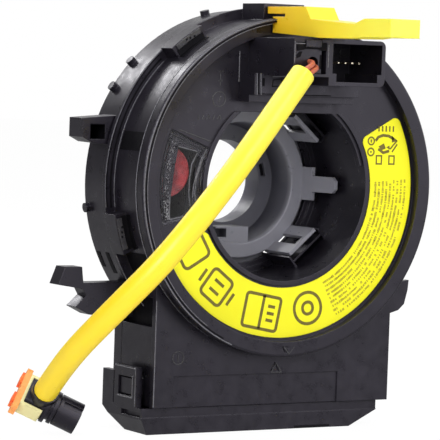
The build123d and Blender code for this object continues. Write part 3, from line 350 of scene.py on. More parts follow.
def winding_edge():
    """Edge of the wound flat cable: thin pale turns between dark gaps, by distance from the axis."""
    material, tree, shader = new_material("cable edge")
    turns = math_node(tree, "FRACT", math_node(tree, "DIVIDE", distance_from_axis(tree), TURN_PITCH))
    wander = math_node(tree, "MULTIPLY", noise(tree, 220.0, 3.0), 0.35)
    stops = [(0.30, (0.012, 0.012, 0.014)), (0.55, (0.10, 0.10, 0.11)), (0.95, (0.012, 0.012, 0.014))]
    tree.links.new(ramp(tree, math_node(tree, "ADD", turns, wander), stops), shader.inputs["Base Color"])
    uneven_gloss(tree, shader, 0.36, 0.1, 600.0)
    grain(tree, shader, 1800.0, 0.2, 0.03 * MM, 0.1 * MM)
    return material


BLACK_GLOSS_TINT = (0.90, 0.86, 1.0)
looks = {
    "black_plastic": moulded("black plastic", (0.0060, 0.0052, 0.0080), (0.0108, 0.0093, 0.0140), 0.33,
                             gloss_tint=BLACK_GLOSS_TINT),
    "grey_plastic": sleeve_plastic(),
    "label_yellow": moulded("yellow film", (0.83, 0.78, 0.010), (0.88, 0.84, 0.014), 0.38, texture=0.05,
                            specular=0.3),
    "clear_lens": lens_plastic(),
    "lock_yellow": lock_plastic(),
    "sleeve_yellow": sleeve_skin(),
    "wire_red": moulded("wire insulation", (0.50, 0.115, 0.06), (0.58, 0.15, 0.085), 0.40, texture=0.05),
    "roller_red": moulded("red plastic", (0.17, 0.012, 0.020), (0.66, 0.060, 0.070), 0.38, patch=300.0),
    "roller_white": moulded("white plastic", (0.70, 0.70, 0.68), (0.76, 0.76, 0.74), 0.40),
    "ribbon": winding_edge(),
    "pin_brass": bright_metal("pin metal", (0.70, 0.62, 0.46), (0.82, 0.76, 0.62), 0.26),
    "clip_pale": moulded("pale clip plastic", (0.78, 0.72, 0.34), (0.86, 0.80, 0.42), 0.34),
    "lock_orange": pad_plastic(),
}
print_ink = moulded("print ink", (0.11, 0.085, 0.004), (0.17, 0.13, 0.006), 0.42, patch=500.0, texture=0.05)
row_ink = moulded("pale print ink", (0.40, 0.34, 0.008), (0.52, 0.45, 0.012), 0.42, patch=500.0, texture=0.05)
# Painted highlight: raised marks, ledges and tongues are lightened from black to dark grey, as light catches them.
raised_highlight_black = moulded("black with painted highlight", (0.030, 0.029, 0.033), (0.050, 0.048, 0.055), 0.22, patch=300.0)
# Painted highlight: thin beads and strips along edges are lightened to grey, as light catches the edges.
highlight_edge_black = moulded("black edge with painted highlight", (0.10, 0.098, 0.115), (0.15, 0.147, 0.17), 0.30, patch=300.0)
frosted_rib = moulded("frosted rib", (0.09, 0.09, 0.10), (0.17, 0.17, 0.19), 0.30, patch=500.0)
weld_bead = moulded("weld bead", (0.06, 0.06, 0.07), (0.42, 0.42, 0.45), 0.22, patch=1400.0)
gap_black = moulded("shaded gap", (0.0015, 0.0014, 0.0019), (0.003, 0.0028, 0.0038), 0.6, specular=0.14,
                    gloss_tint=BLACK_GLOSS_TINT)

slots = {part["node"]: part["material_slot"] for part in frame["record"]["subparts"]}
for name, obj in nodes.items():
    obj.data.materials.clear()
    obj.data.materials.append(looks[slots[name]])


# ---------------------------------------------------------------- airbag lead
SLEEVE_ROUTE = [
    (-16.6, -33.0, 35.8),
    (-27.6, -36.5, 24.3),
    (-39.7, -39.0, 10.6),
    (-47.8, -40.0, 1.4),
    (-57.6, -40.0, -9.9),
    (-66.1, -37.0, -21.0),
    (-73.0, -31.0, -30.8),
    (-77.3, -23.0, -39.4),
    (-78.9, -12.0, -47.6),
    (-78.2, 0.2, -55.7),
    (-76.4, 12.1, -63.4),
]
WIRE_START = [(-8.3, -18.4, 39.2), (-8.3, -29.8, 39.2)]
WIRE_SPREAD = Vector((0.65, 0.0, -0.65))
SLEEVE_OD = 7.5 * MM
WIRE_OD = 1.55 * MM


def cord_curve(name, points, radius, material):
    """Round cord along its route's points."""
    data = bpy.data.curves.new(name, "CURVE")
    data.dimensions = "3D"
    spline = data.splines.new("NURBS")
    spline.points.add(len(points) - 1)
    for point, where in zip(spline.points, points):
        point.co = (*(Vector(where) * MM), 1.0)
    spline.order_u = 3
    spline.use_endpoint_u = True
    spline.resolution_u = 16
    data.bevel_depth = radius
    data.bevel_resolution = 8
    data.use_fill_caps = True
    data.materials.append(material)
    return place_object(name, data)


def airbag_lead():
    """Yellow sleeve with its squib plug, and the two wires inside it."""
    sleeve = cord_curve("airbag_sleeve", SLEEVE_ROUTE, SLEEVE_OD / 2, looks["sleeve_yellow"])
    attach(sleeve, "rotor")
    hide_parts("lead_sleeve")
    for number, side in enumerate((1, -1), start=1):
        points = [Vector(point) + WIRE_SPREAD * side for point in WIRE_START + SLEEVE_ROUTE]
        wire = cord_curve(f"airbag_wire_{number}", points, WIRE_OD / 2, looks["wire_red"])
        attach(wire, "rotor")
        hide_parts(f"lead_wire_{number}")


# ---------------------------------------------------------------- pieces made of strips, plates and blocks
def add_piece(name, mesh, material, body):
    """Object made from a bmesh, in place, riding on its body."""
    bmesh.ops.recalc_face_normals(mesh, faces=mesh.faces)
    data = bpy.data.meshes.new(name)
    mesh.to_mesh(data)
    mesh.free()
    data.materials.append(material)
    obj = place_object(name, data)
    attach(obj, body)
    return obj


def path_verts(mesh, path, y):
    """Vertices of a path of (x, z) points at one depth, in millimetres."""
    return [mesh.verts.new((x * MM, y * MM, z * MM)) for x, z in path]


def join_loops(mesh, *pairs):
    """Quads between the two closed loops of each pair."""
    count = len(pairs[0][0])
    for index in range(count):
        after = (index + 1) % count
        for one, two in pairs:
            mesh.faces.new((one[index], one[after], two[after], two[index]))


def mitred_sides(path, half_width, closed):
    """Points left and right of a path in the X-Z plane, mitred at its corners."""
    points = [Vector(point) for point in path]
    count = len(points)
    left, right = [], []
    for index, point in enumerate(points):
        before = points[index - 1] if closed or index else point
        after = points[(index + 1) % count] if closed or index < count - 1 else point
        incoming = (point - before).normalized() if (point - before).length else (after - point).normalized()
        outgoing = (after - point).normalized() if (after - point).length else incoming
        tangent = (incoming + outgoing).normalized()
        normal = Vector((-tangent.y, tangent.x))
        reach = half_width / max(0.5, normal.dot(Vector((-incoming.y, incoming.x))))
        left.append(point + normal * reach)
        right.append(point - normal * reach)
    return left, right


def add_strip(mesh, path, width, front_y, back_y, closed=False):
    """Strip of even width along a path of (x, z) points, from back_y forward to front_y, in millimetres."""
    left, right = mitred_sides(path, width / 2, closed)
    rings = []
    for one, two in zip(left, right):
        corners = ((one, front_y), (two, front_y), (two, back_y), (one, back_y))
        rings.append([mesh.verts.new((p.x * MM, y * MM, p.y * MM)) for p, y in corners])
    last = len(rings) if closed else len(rings) - 1
    for index in range(last):
        join_loops(mesh, (rings[index], rings[(index + 1) % len(rings)]))
    if not closed:
        mesh.faces.new(rings[0])
        mesh.faces.new(reversed(rings[-1]))


def strips_piece(name, paths, width, front_y, back_y, material, body, slot):
    """One piece of several strips; a path that ends where it starts is closed."""
    mesh = bmesh.new()
    for path in paths:
        closed = path[0] == path[-1]
        add_strip(mesh, path[:-1] if closed else path, width, front_y, back_y, closed)
    add_piece(name, mesh, material, body)


def plate_piece(name, outlines, front_y, back_y, material, body, slot):
    """Flat plates of the given (x, z) outlines, from back_y forward to front_y, in millimetres."""
    mesh = bmesh.new()
    for outline in outlines:
        front, back = (path_verts(mesh, outline, y) for y in (front_y, back_y))
        mesh.faces.new(front)
        mesh.faces.new(reversed(back))
        for index in range(len(outline)):
            after = (index + 1) % len(outline)
            mesh.faces.new((front[index], back[index], back[after], front[after]))
    add_piece(name, mesh, material, body)


BAND_STEPS = 96


def bands_piece(name, bands, material, body):
    """One piece of bands on round walls, each (radius, thickness, front y, back y, start angle, end angle)."""
    mesh = bmesh.new()
    for radius, thickness, front_y, back_y, start, end in bands:
        add_strip(mesh, arc(radius, start, end, BAND_STEPS), thickness, front_y, back_y)
    add_piece(name, mesh, material, body)


def blocks_piece(name, blocks, material, body):
    """One piece of several upright blocks, each (low corner, high corner) in millimetres."""
    mesh = bmesh.new()
    for low, high in blocks:
        corners = [mesh.verts.new((x * MM, y * MM, z * MM)) for x in (low[0], high[0]) for y in (low[1], high[1])
                   for z in (low[2], high[2])]
        for sides in ((0, 1, 3, 2), (4, 6, 7, 5), (0, 4, 5, 1), (2, 3, 7, 6), (0, 2, 6, 4), (1, 5, 7, 3)):
            mesh.faces.new([corners[index] for index in sides])
    add_piece(name, mesh, material, body)


def polar(radius, degrees):
    """Point (x, z) at a radius and angle about the turning axis."""
    angle = math.radians(degrees)
    return radius * math.cos(angle), radius * math.sin(angle)


def arc(radius, start, end, steps):
    """Points along an arc about the turning axis."""
    return [polar(radius, start + (end - start) * step / steps) for step in range(steps + 1)]


def ring(centre, radius, steps=24):
    """Closed circle of points about a centre."""
    points = [(centre[0] + radius * math.cos(2 * math.pi * step / steps),
               centre[1] + radius * math.sin(2 * math.pi * step / steps)) for step in range(steps)]
    return points + points[:1]


def rounded_box(half_width, half_height, corner, steps=4):
    """Closed rounded rectangle about the origin."""
    points = []
    for quarter, (side, rise) in enumerate(((1, 1), (-1, 1), (-1, -1), (1, -1))):
        centre = (side * (half_width - corner), rise * (half_height - corner))
        for step in range(steps + 1):
            angle = math.radians(90 * quarter + 90 * step / steps)
            points.append((centre[0] + corner * math.cos(angle), centre[1] + corner * math.sin(angle)))
    return points + points[:1]


def on_label(path, radius, degrees):
    """Local (right, up) points set on the label, with up towards the turning axis."""
    angle = math.radians(degrees)
    outward = Vector((math.cos(angle), math.sin(angle)))
    sideways = Vector((-math.sin(angle), math.cos(angle)))
    return [tuple(outward * (radius - up) + sideways * across) for across, up in path]


# ---------------------------------------------------------------- rows of marks, by Geometry Nodes
KEEP_SEED_STEP = 7.0


def mark_rows_tree(name, material):
    """Tree of short marks in rows round the turning axis, with sizes as named inputs in metres and degrees."""
    tree = bpy.data.node_groups.new(name, "GeometryNodeTree")
    face = tree.interface
    face.new_socket(name="Geometry", in_out="OUTPUT", socket_type="NodeSocketGeometry")
    for label in ("Rows", "Marks", "Seed"):
        face.new_socket(name=label, in_out="INPUT", socket_type="NodeSocketInt")
    for label in ("Inner Radius", "Row Pitch", "Start Angle", "End Angle", "Front", "Mark Length", "Mark Height",
                  "Mark Depth", "Wander", "Share"):
        face.new_socket(name=label, in_out="INPUT", socket_type="NodeSocketFloat")
    new = tree.nodes.new
    link = tree.links.new
    size = new("NodeGroupInput").outputs
    grid = new("GeometryNodeMeshGrid")
    grid.inputs["Size X"].default_value = 1.0
    grid.inputs["Size Y"].default_value = 1.0
    link(size["Marks"], grid.inputs["Vertices X"])
    link(size["Rows"], grid.inputs["Vertices Y"])
    spot = new("ShaderNodeSeparateXYZ")
    link(new("GeometryNodeInputPosition").outputs["Position"], spot.inputs["Vector"])
    across = math_node(tree, "ADD", spot.outputs["X"], 0.5)
    upward = math_node(tree, "ADD", spot.outputs["Y"], 0.5)
    span = math_node(tree, "SUBTRACT", size["End Angle"], size["Start Angle"])
    degrees = math_node(tree, "ADD", size["Start Angle"], math_node(tree, "MULTIPLY", across, span))
    angle = math_node(tree, "RADIANS", degrees)
    reach = math_node(tree, "MULTIPLY", size["Row Pitch"], math_node(tree, "SUBTRACT", size["Rows"], 1.0))
    stray = new("FunctionNodeRandomValue")
    stray.data_type = "FLOAT"
    link(size["Wander"], socket_by_id(stray.inputs, "Max_001"))
    link(math_node(tree, "MULTIPLY", size["Wander"], -1.0), socket_by_id(stray.inputs, "Min_001"))
    link(size["Seed"], stray.inputs["Seed"])
    stray_out = socket_by_id(stray.outputs, "Value_001")
    radius = math_node(tree, "ADD", math_node(tree, "ADD", size["Inner Radius"], stray_out),
                       math_node(tree, "MULTIPLY", upward, reach))
    target = new("ShaderNodeCombineXYZ")
    link(math_node(tree, "MULTIPLY", radius, math_node(tree, "COSINE", angle)), target.inputs["X"])
    link(size["Front"], target.inputs["Y"])
    link(math_node(tree, "MULTIPLY", radius, math_node(tree, "SINE", angle)), target.inputs["Z"])
    move = new("GeometryNodeSetPosition")
    link(grid.outputs["Mesh"], move.inputs["Geometry"])
    link(target.outputs["Vector"], move.inputs["Position"])
    placed = new("ShaderNodeSeparateXYZ")
    link(new("GeometryNodeInputPosition").outputs["Position"], placed.inputs["Vector"])
    bearing = math_node(tree, "ARCTAN2", placed.outputs["Z"], placed.outputs["X"])
    turn = new("ShaderNodeCombineXYZ")
    link(math_node(tree, "MULTIPLY", math_node(tree, "ADD", bearing, math.pi / 2), -1.0), turn.inputs["Y"])
    facing = new("FunctionNodeEulerToRotation")
    link(turn.outputs["Vector"], facing.inputs["Euler"])
    mark_size = new("ShaderNodeCombineXYZ")
    link(size["Mark Length"], mark_size.inputs["X"])
    link(size["Mark Depth"], mark_size.inputs["Y"])
    link(size["Mark Height"], mark_size.inputs["Z"])
    mark = new("GeometryNodeMeshCube")
    link(mark_size.outputs["Vector"], mark.inputs["Size"])
    vary = new("FunctionNodeRandomValue")
    vary.data_type = "FLOAT_VECTOR"
    vary.inputs["Min"].default_value = (0.35, 1.0, 0.65)
    vary.inputs["Max"].default_value = (1.15, 1.0, 1.1)
    link(size["Seed"], vary.inputs["Seed"])
    keep = new("FunctionNodeRandomValue")
    keep.data_type = "BOOLEAN"
    link(size["Share"], keep.inputs["Probability"])
    link(math_node(tree, "ADD", size["Seed"], KEEP_SEED_STEP), keep.inputs["Seed"])
    instances = new("GeometryNodeInstanceOnPoints")
    link(move.outputs["Geometry"], instances.inputs["Points"])
    link(mark.outputs["Mesh"], instances.inputs["Instance"])
    link(socket_by_id(keep.outputs, "Value_003"), instances.inputs["Selection"])
    link(facing.outputs["Rotation"], instances.inputs["Rotation"])
    link(vary.outputs["Value"], instances.inputs["Scale"])
    realize = new("GeometryNodeRealizeInstances")
    link(instances.outputs["Instances"], realize.inputs["Geometry"])
    finish = new("GeometryNodeSetMaterial")
    finish.inputs["Material"].default_value = material
    link(realize.outputs["Geometry"], finish.inputs["Geometry"])
    link(finish.outputs["Geometry"], new("NodeGroupOutput").inputs["Geometry"])
    return tree


def rows_of_marks(name, material, body, slot, **sizes):
    """Plain mesh of marks in rows round the axis, made by its node tree with the given named sizes."""
    tree = mark_rows_tree(name, material)
    maker = place_object(f"{name}_maker", bpy.data.meshes.new(f"{name}_maker"))
    modifier = maker.modifiers.new("rows", "NODES")
    modifier.node_group = tree
    for item in tree.interface.items_tree:
        if item.in_out == "INPUT":
            modifier[item.identifier] = sizes[item.name.lower().replace(" ", "_")]
    bpy.context.view_layer.update()
    evaluated = maker.evaluated_get(bpy.context.evaluated_depsgraph_get())
    data = bpy.data.meshes.new_from_object(evaluated)
    data.name = name
    bpy.data.objects.remove(maker)
    obj = place_object(name, data)
    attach(obj, body)


# ---------------------------------------------------------------- label print
PRINT_RISE = 0.03
PRINT_SINK = 0.01


def label_print():
    """Plain frames and rows of marks printed on the label."""
    front, back = LABEL_FRONT_Y - PRINT_RISE, LABEL_FRONT_Y + PRINT_SINK
    groups = ((38.9, -150.0, [rounded_box(4.6, 5.0, 1.6)]),
              (39.6, -128.0, [rounded_box(4.3, 4.6, 1.4), [(-6.4, -2.2), (-6.4, 2.2)], [(6.4, -2.2), (6.4, 2.2)],
                              [(-2.0, 1.6), (2.0, 1.6)], [(-2.0, -1.6), (2.0, -1.6)]]),
              (39.9, -101.0, [rounded_box(6.4, 5.3, 1.0), [(0.0, -5.3), (0.0, 5.3)], [(2.0, -2.2), (4.6, -2.2)],
                              [(2.0, 0.0), (4.6, 0.0)], [(2.0, 2.2), (4.6, 2.2)]]),
              (39.4, -76.0, [rounded_box(5.0, 5.0, 4.9, 8), rounded_box(1.9, 1.9, 1.8, 6)]))
    signs = [on_label(path, radius, degrees) for radius, degrees, paths in groups for path in paths]
    strips_piece("label_signs", signs, 1.0, front, back, print_ink, "rotor", "label_yellow")
    rows_of_marks("label_rows", row_ink, "rotor", "label_yellow", rows=9, marks=54, seed=4,
                  inner_radius=33.8 * MM, row_pitch=1.42 * MM, start_angle=-63.0, end_angle=3.0,
                  front=(front + back) / 2 * MM, mark_length=0.95 * MM, mark_height=0.75 * MM,
                  mark_depth=(back - front) * MM, wander=0.05 * MM, share=0.86)
    fine = [ring((31.5, 15.1), 1.2, 16), ring((31.5, 11.6), 1.2, 16), [(31.5, 14.6), (31.5, 15.6)],
            [(31.2, 11.6), (31.8, 11.6)], [(38.9, 12.6), (41.5, 15.4)], [(39.7, 11.7), (41.6, 14.2)]]
    fine += [[(x, 18.2), (x, 20.0)] for x in (34.3, 35.7, 37.1, 38.5, 39.9)]
    fine += [[(x - 1.0, 7.8), (x + 1.0, 7.8), (x + 1.0, 10.4), (x - 1.0, 10.4), (x - 1.0, 7.8)]
             for x in (34.7, 39.6)]
    strips_piece("label_turn_signs", fine, 0.5, front, back, print_ink, "rotor", "label_yellow")
    bold = [[(33.2, 15.2), (34.2, 16.4), (36.0, 17.0), (38.2, 16.8), (40.2, 15.8)],
            [(34.3, 12.6), (36.3, 11.4), (38.6, 12.0)]]
    strips_piece("label_turn_arcs", bold, 0.9, front, back, print_ink, "rotor", "label_yellow")
    blobs = [[(34.4, 13.4), (36.4, 14.4), (37.2, 12.8), (35.6, 12.2)], [(39.4, 16.9), (41.7, 15.3), (39.5, 14.7)],
             [(37.4, 13.2), (38.6, 13.7), (38.8, 12.4)]]
    plate_piece("label_turn_blobs", blobs, front, back, print_ink, "rotor", "label_yellow")


# ---------------------------------------------------------------- rotor face and window
def face_marks():
    """Mould marks on the rotor's face, lightened as painted highlight: a round mark, a tick line and a row of plain
    dashes.
    """
    marks = [ring((-25.8, 27.1), 2.3), [(-25.5, 31.2), (-25.5, 35.8)], [(-26.5, 35.7), (-24.6, 35.7)],
             [(-26.4, 32.8), (-24.6, 32.8)], [(-25.8, 26.0), (-25.2, 28.3)]]
    marks += [[(x, 20.6), (x + 0.5 * (index % 3), 22.2)] for index, x in
              enumerate((-32.9, -31.6, -30.3, -29.0, -27.7, -26.4, -25.1))]
    strips_piece("face_marks", marks, 0.32, *standing(FACE_Y, 0.10), raised_highlight_black, "rotor", "black_plastic")
    strips_piece("window_rib", [[(-39.6, 17.4), (-26.6, 13.4)]], 0.4, *standing(FACE_Y, 0.12), raised_highlight_black, "rotor",
                 "black_plastic")


def window_details():
    """Dark frame behind the clear window, its ribs, and the weld bead round it."""
    mesh = bmesh.new()
    opening = [(-39.0, 12.0), (-32.2, 10.7), (-33.0, 2.2), (-33.7, -6.1), (-33.9, -8.8), (-41.4, -10.1),
               (-41.1, -2.4), (-40.2, 5.0)]
    border = [polar(44.2, 159.3), polar(32.6, 160.0), polar(32.6, 176.0), polar(32.6, 190.0),
              polar(32.6, 193.2), polar(44.2, 193.6), polar(44.2, 183.0), polar(44.2, 171.0)]
    shade_front, shade_back = 1.45, 1.75
    inner_front, outer_front, inner_back, outer_back = (
        path_verts(mesh, path, y) for y in (shade_front, shade_back) for path in (opening, border))
    join_loops(mesh, (inner_front, outer_front), (outer_front, outer_back), (outer_back, inner_back),
               (inner_back, inner_front))
    add_piece("window_shade", mesh, looks["black_plastic"], "rotor")
    front, back = LENS_FRONT_Y - 0.13, LENS_FRONT_Y + 0.01
    ribs = [[(-29.7, 11.6), (-31.4, 7.3), (-33.0, 2.6), (-33.4, -2.3), (-32.9, -4.5)],
            [(-31.2, 9.2), (-32.6, 5.0), (-33.9, 0.6), (-34.2, -3.4)],
            [(-33.0, 10.3), (-34.8, 6.9), (-35.5, 2.0), (-35.5, -2.3), (-34.9, -6.0)],
            [(-39.7, 12.2), (-33.0, 10.8)], [(-42.2, -2.4), (-42.2, -10.2), (-35.1, -8.9)]]
    strips_piece("window_ribs", ribs, 0.3, front, back, frosted_rib, "rotor", "clear_lens")
    bead = {"inner_radius": 43.0 * MM, "front": -0.06 * MM, "mark_depth": 0.12 * MM}
    rows_of_marks("window_weld", weld_bead, "rotor", "clear_lens", rows=2, marks=58, seed=3, row_pitch=0.8 * MM,
                  start_angle=160.5, end_angle=188.0, mark_length=0.42 * MM, mark_height=0.28 * MM,
                  wander=0.28 * MM, share=0.40, **bead)
    rows_of_marks("window_weld_end", weld_bead, "rotor", "clear_lens", rows=4, marks=16, seed=9, row_pitch=0.5 * MM,
                  start_angle=186.0, end_angle=193.2, mark_length=0.50 * MM, mark_height=0.34 * MM,
                  wander=0.18 * MM, share=0.72, **bead)


def roller_face():
    """Dished end face of the red roller, with soft ribs across it."""
    low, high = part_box("roller_1")
    centre = ((low[0] + high[0]) / 2, (low[2] + high[2]) / 2)
    overhang, gap, dish_depth, rib_depth, rib_count = 0.8 * MM, 0.30 * MM, 0.35 * MM, 0.16 * MM, 6
    outer = (high[0] - low[0]) / 2 + overhang
    inner = 2.3 * MM
    front = low[1] - gap
    steps, rings = 48, 10
    mesh = bmesh.new()
    layers = []
    for row in range(rings + 1):
        share = row / rings
        radius = inner + (outer - inner) * share
        dish = dish_depth * math.sin(math.pi * share)
        layer = []
        for step in range(steps):
            angle = 2 * math.pi * step / steps
            wave = rib_depth * math.sin(rib_count * angle) * math.sin(math.pi * share)
            layer.append(mesh.verts.new((centre[0] + radius * math.cos(angle), front + dish + wave,
                                         centre[1] + radius * math.sin(angle))))
        layers.append(layer)
    for pair in zip(layers, layers[1:]):
        join_loops(mesh, pair)
    for face in mesh.faces:
        face.smooth = True
    face_piece = add_piece("roller_face", mesh, looks["roller_red"], "roller_1")
    thicken = face_piece.modifiers.new("wall", "SOLIDIFY")
    thicken.thickness = 0.5 * MM
    thicken.offset = -1.0


# ---------------------------------------------------------------- rim, case and latches
def ring_lines():
    """Beads on the rotor's rim and edges of the case and its flange, lightened as painted highlight, and painted
    shade in the rim's groove, the flange's grooves and the gap behind the rim.
    """
    rim, flange, edge_r = RIM_FRONT_Y, FLANGE_Y, CASE_R + 0.06
    bands_piece("rim_beads", [(RIM_R - 0.45, 0.34, rim - 0.07, rim + 0.3, 58.0, 248.0),
                              (RIM_R - 1.55, 0.24, *standing(rim, 0.07), 100.0, 236.0)],
                highlight_edge_black, "rotor")
    # Painted shade: dark bands in the grooves and in the gap behind the rim.
    bands_piece("rim_groove", [(RIM_R - 1.05, 0.5, *standing(rim, 0.04), 58.0, 244.0)],
                gap_black, "rotor")
    bands_piece("case_gap", [(CASE_R + 0.05, 0.14, CASE_FRONT_Y - 0.35, CASE_FRONT_Y + 0.30, 100.0, 256.0)],
                gap_black, "stator")
    bands_piece("case_edges", [(edge_r, 0.16, CASE_FRONT_Y + 0.30, CASE_FRONT_Y + 0.85, 100.0, 256.0),
                               (FLANGE_R - 0.2, 0.3, *standing(flange, 0.06), 108.0, 188.0),
                               (FLANGE_R - 0.2, 0.3, *standing(flange, 0.06), 203.0, 240.0),
                               (edge_r, 0.16, flange - 0.45, flange - 0.05, 134.0, 188.0)],
                highlight_edge_black, "stator")
    bands_piece("flange_groove", [(CASE_R + 1.2, 0.6, *standing(flange, 0.05), 134.0, 188.0),
                                  (CASE_R + 2.6, 0.3, *standing(flange, 0.04), 134.0, 188.0)],
                gap_black, "stator")


def case_shade():
    """Dark panels on the case's wall and on the drum behind it."""
    wall, drum = (CASE_R + 0.04, 0.10), (DRUM_R + 0.05, 0.12)
    bands_piece("case_shade", [(*wall, CASE_FRONT_Y + 1.1, FLANGE_Y - 1.2, 162.0, 168.5),
                               (*wall, CASE_FRONT_Y + 1.1, FLANGE_Y - 0.6, 203.5, 226.0),
                               (*drum, 27.6, 29.6, 203.5, 209.0),
                               (*drum, 21.8, 24.0, 203.5, 211.0)], gap_black, "stator")


def latch_faces():
    """Painted shade beside and in front of each latch round the case, a raised tongue lightened as painted
    highlight, and dark specks on it.
    """
    recess, tongues, specks = [], [], []
    front = LATCH_FRONT_Y
    for middle in LATCH_ANGLES:
        # Painted shade: two dark bands per latch, one on its front and one on the case wall beside it.
        recess.append((CASE_R + 1.05, 2.0, *standing(front, 0.06), middle - 5.8, middle + 5.6))
        recess.append((CASE_R + 0.06, 0.14, front - 2.4, front, middle - 6.0, middle + 6.0))
        tongues.append((CASE_R + 2.85, 1.7, *standing(front, 0.5), middle - 5.2, middle + 5.0))
        for swing in (-2.6, -1.0, 0.4):
            specks.append((CASE_R + 2.9 + 0.2 * swing, 0.6, front - 0.56, front - 0.4, middle + swing,
                           middle + swing + 0.7))
    bands_piece("latch_recesses", recess, gap_black, "stator")
    bands_piece("latch_tongues", tongues, raised_highlight_black, "stator")
    bands_piece("latch_specks", specks, gap_black, "stator")


def loop_lining():
    """Painted shade: dark walls and a floor at the back inside the guide loop on the case's left side."""
    left, right, low, high = -60.55, -55.45, 13.45, 18.05
    front, back, wall = 18.45, 27.35, 0.12
    mesh = bmesh.new()
    outer_front, inner_front, outer_back, inner_back = (
        path_verts(mesh, ((left + grow, low + grow), (right - grow, low + grow), (right - grow, high - grow),
                          (left + grow, high - grow)), y) for y in (front, back) for grow in (0.0, wall))
    join_loops(mesh, (outer_front, inner_front), (inner_front, inner_back), (outer_back, outer_front))
    mesh.faces.new(inner_back)
    mesh.faces.new(outer_back)
    add_piece("loop_lining", mesh, gap_black, "stator")


# ---------------------------------------------------------------- connector tower and its plinth
def tower_details():
    """Latch on the tower's front, painted shade in the gaps round it and on the plug, its edges lightened as
    painted highlight, and ledges on its socket's back wall, lightened the same way.
    """
    # Painted shade: dark sheets on the tower's front where the latch's gaps are.
    plate_piece("tower_latch_gaps", [[(-14.4, 42.7), (-11.8, 43.2), (-11.8, 44.6), (-14.4, 44.6)],
                                     [(-11.8, 43.4), (-5.8, 43.4), (-5.8, 44.0), (-11.8, 44.0)],
                                     [(-5.8, 43.0), (-3.7, 43.0), (-3.7, 45.4), (-5.8, 45.4)]],
                *standing(TOWER_FRONT_Y, 0.03), gap_black, "rotor", "black_plastic")
    plate_piece("tower_latch", [[(-11.5, 44.1), (-6.0, 44.1), (-6.0, 46.2), (-11.5, 46.2)]],
                *standing(TOWER_FRONT_Y, 0.5), looks["black_plastic"], "rotor", "black_plastic")
    strips_piece("tower_latch_edges", [[(-15.3, 45.0), (-11.5, 45.0)], [(-11.4, 44.2), (-6.1, 44.2)],
                                       [(-3.1, 44.9), (-3.1, 38.0)], [(-15.3, 45.6), (-15.3, 39.0)]],
                 0.3, *standing(TOWER_FRONT_Y, 0.12), highlight_edge_black, "rotor", "black_plastic")
    plate_piece("plug_shadows", [[(-6.0, 37.4), (-5.2, 37.4), (-5.2, 41.6), (-5.8, 41.9)],
                                 [(-14.3, 41.6), (-13.2, 42.6), (-12.2, 42.6), (-12.8, 41.0), (-14.3, 40.4)]],
                *standing(PLUG_FRONT_Y, 0.04), gap_black, "rotor", "black_plastic")
    strips_piece("socket_ledges", [[(9.8, 43.9), (16.2, 43.9)], [(9.8, 42.0), (16.2, 42.0)],
                                   [(9.9, 41.0), (9.9, 44.2)], [(13.0, 41.0), (13.0, 44.0)]],
                 0.35, *standing(SOCKET_WALL_Y, 0.5), raised_highlight_black, "rotor", "black_plastic")


def plinth_details():
    """Ribs lightened as painted highlight, a slit and lines of painted shade on the plinth under the tower, and the
    recess edge beside it, lightened as painted highlight.
    """
    cut = standing(PLINTH_FRONT_Y, 0.04)
    strips_piece("plinth_ribs", [[(-17.9, 35.6), (-17.6, 28.9)], [(-16.5, 35.6), (-16.2, 28.9)],
                                 [(-12.2, 34.6), (-6.6, 34.9)]],
                 0.35, *standing(PLINTH_FRONT_Y, 0.12), highlight_edge_black, "rotor", "black_plastic")
    # Painted shade: a dark slit and dark lines on the plinth's front.
    plate_piece("plinth_slit", [[(-15.9, 31.6), (-15.0, 31.6), (-15.0, 34.1), (-15.9, 34.1)],
                                [(-17.3, 29.2), (-16.8, 29.2), (-17.1, 35.3), (-17.5, 35.3)]],
                *cut, gap_black, "rotor", "black_plastic")
    strips_piece("plinth_lines", [[(-17.6, 29.2), (9.6, 29.2)],
                                  [(-12.0, 33.6), (-9.0, 34.0), (-8.6, 31.8), (-12.2, 31.6), (-12.0, 33.6)]],
                 0.3, *cut, gap_black, "rotor", "black_plastic")
    strips_piece("recess_edge", [[(-18.9, 42.2), (-18.8, 32.6)]], 0.35, *standing(FACE_Y, 0.12), highlight_edge_black,
                 "rotor", "black_plastic")


# ---------------------------------------------------------------- front plate, box and shroud
def plate_details():
    """Round mark and arrow on the front plate and a mark on the rotor's rim above it, lightened as painted
    highlight, and a painted highlight along the plate's left edge.
    """
    raised = standing(PLATE_FRONT_Y, 0.12)
    strips_piece("plate_marks", [ring((-35.5, -53.4), 2.0), [(-35.5, -54.6), (-35.5, -52.2)],
                                 [(0.5, -55.9), (-1.2, -58.8), (2.5, -58.8), (0.5, -55.9)]],
                 0.32, *raised, raised_highlight_black, "stator", "black_plastic")
    strips_piece("plate_edge", [[(-43.8, -35.5), (-43.8, -68.5)]], 0.35, *raised, highlight_edge_black, "stator",
                 "black_plastic")
    strips_piece("rim_mark", [[(-0.6, -50.1), (1.4, -52.4), (3.2, -50.2)]], 0.35, *standing(RIM_FRONT_Y, 0.1),
                 raised_highlight_black, "rotor", "black_plastic")


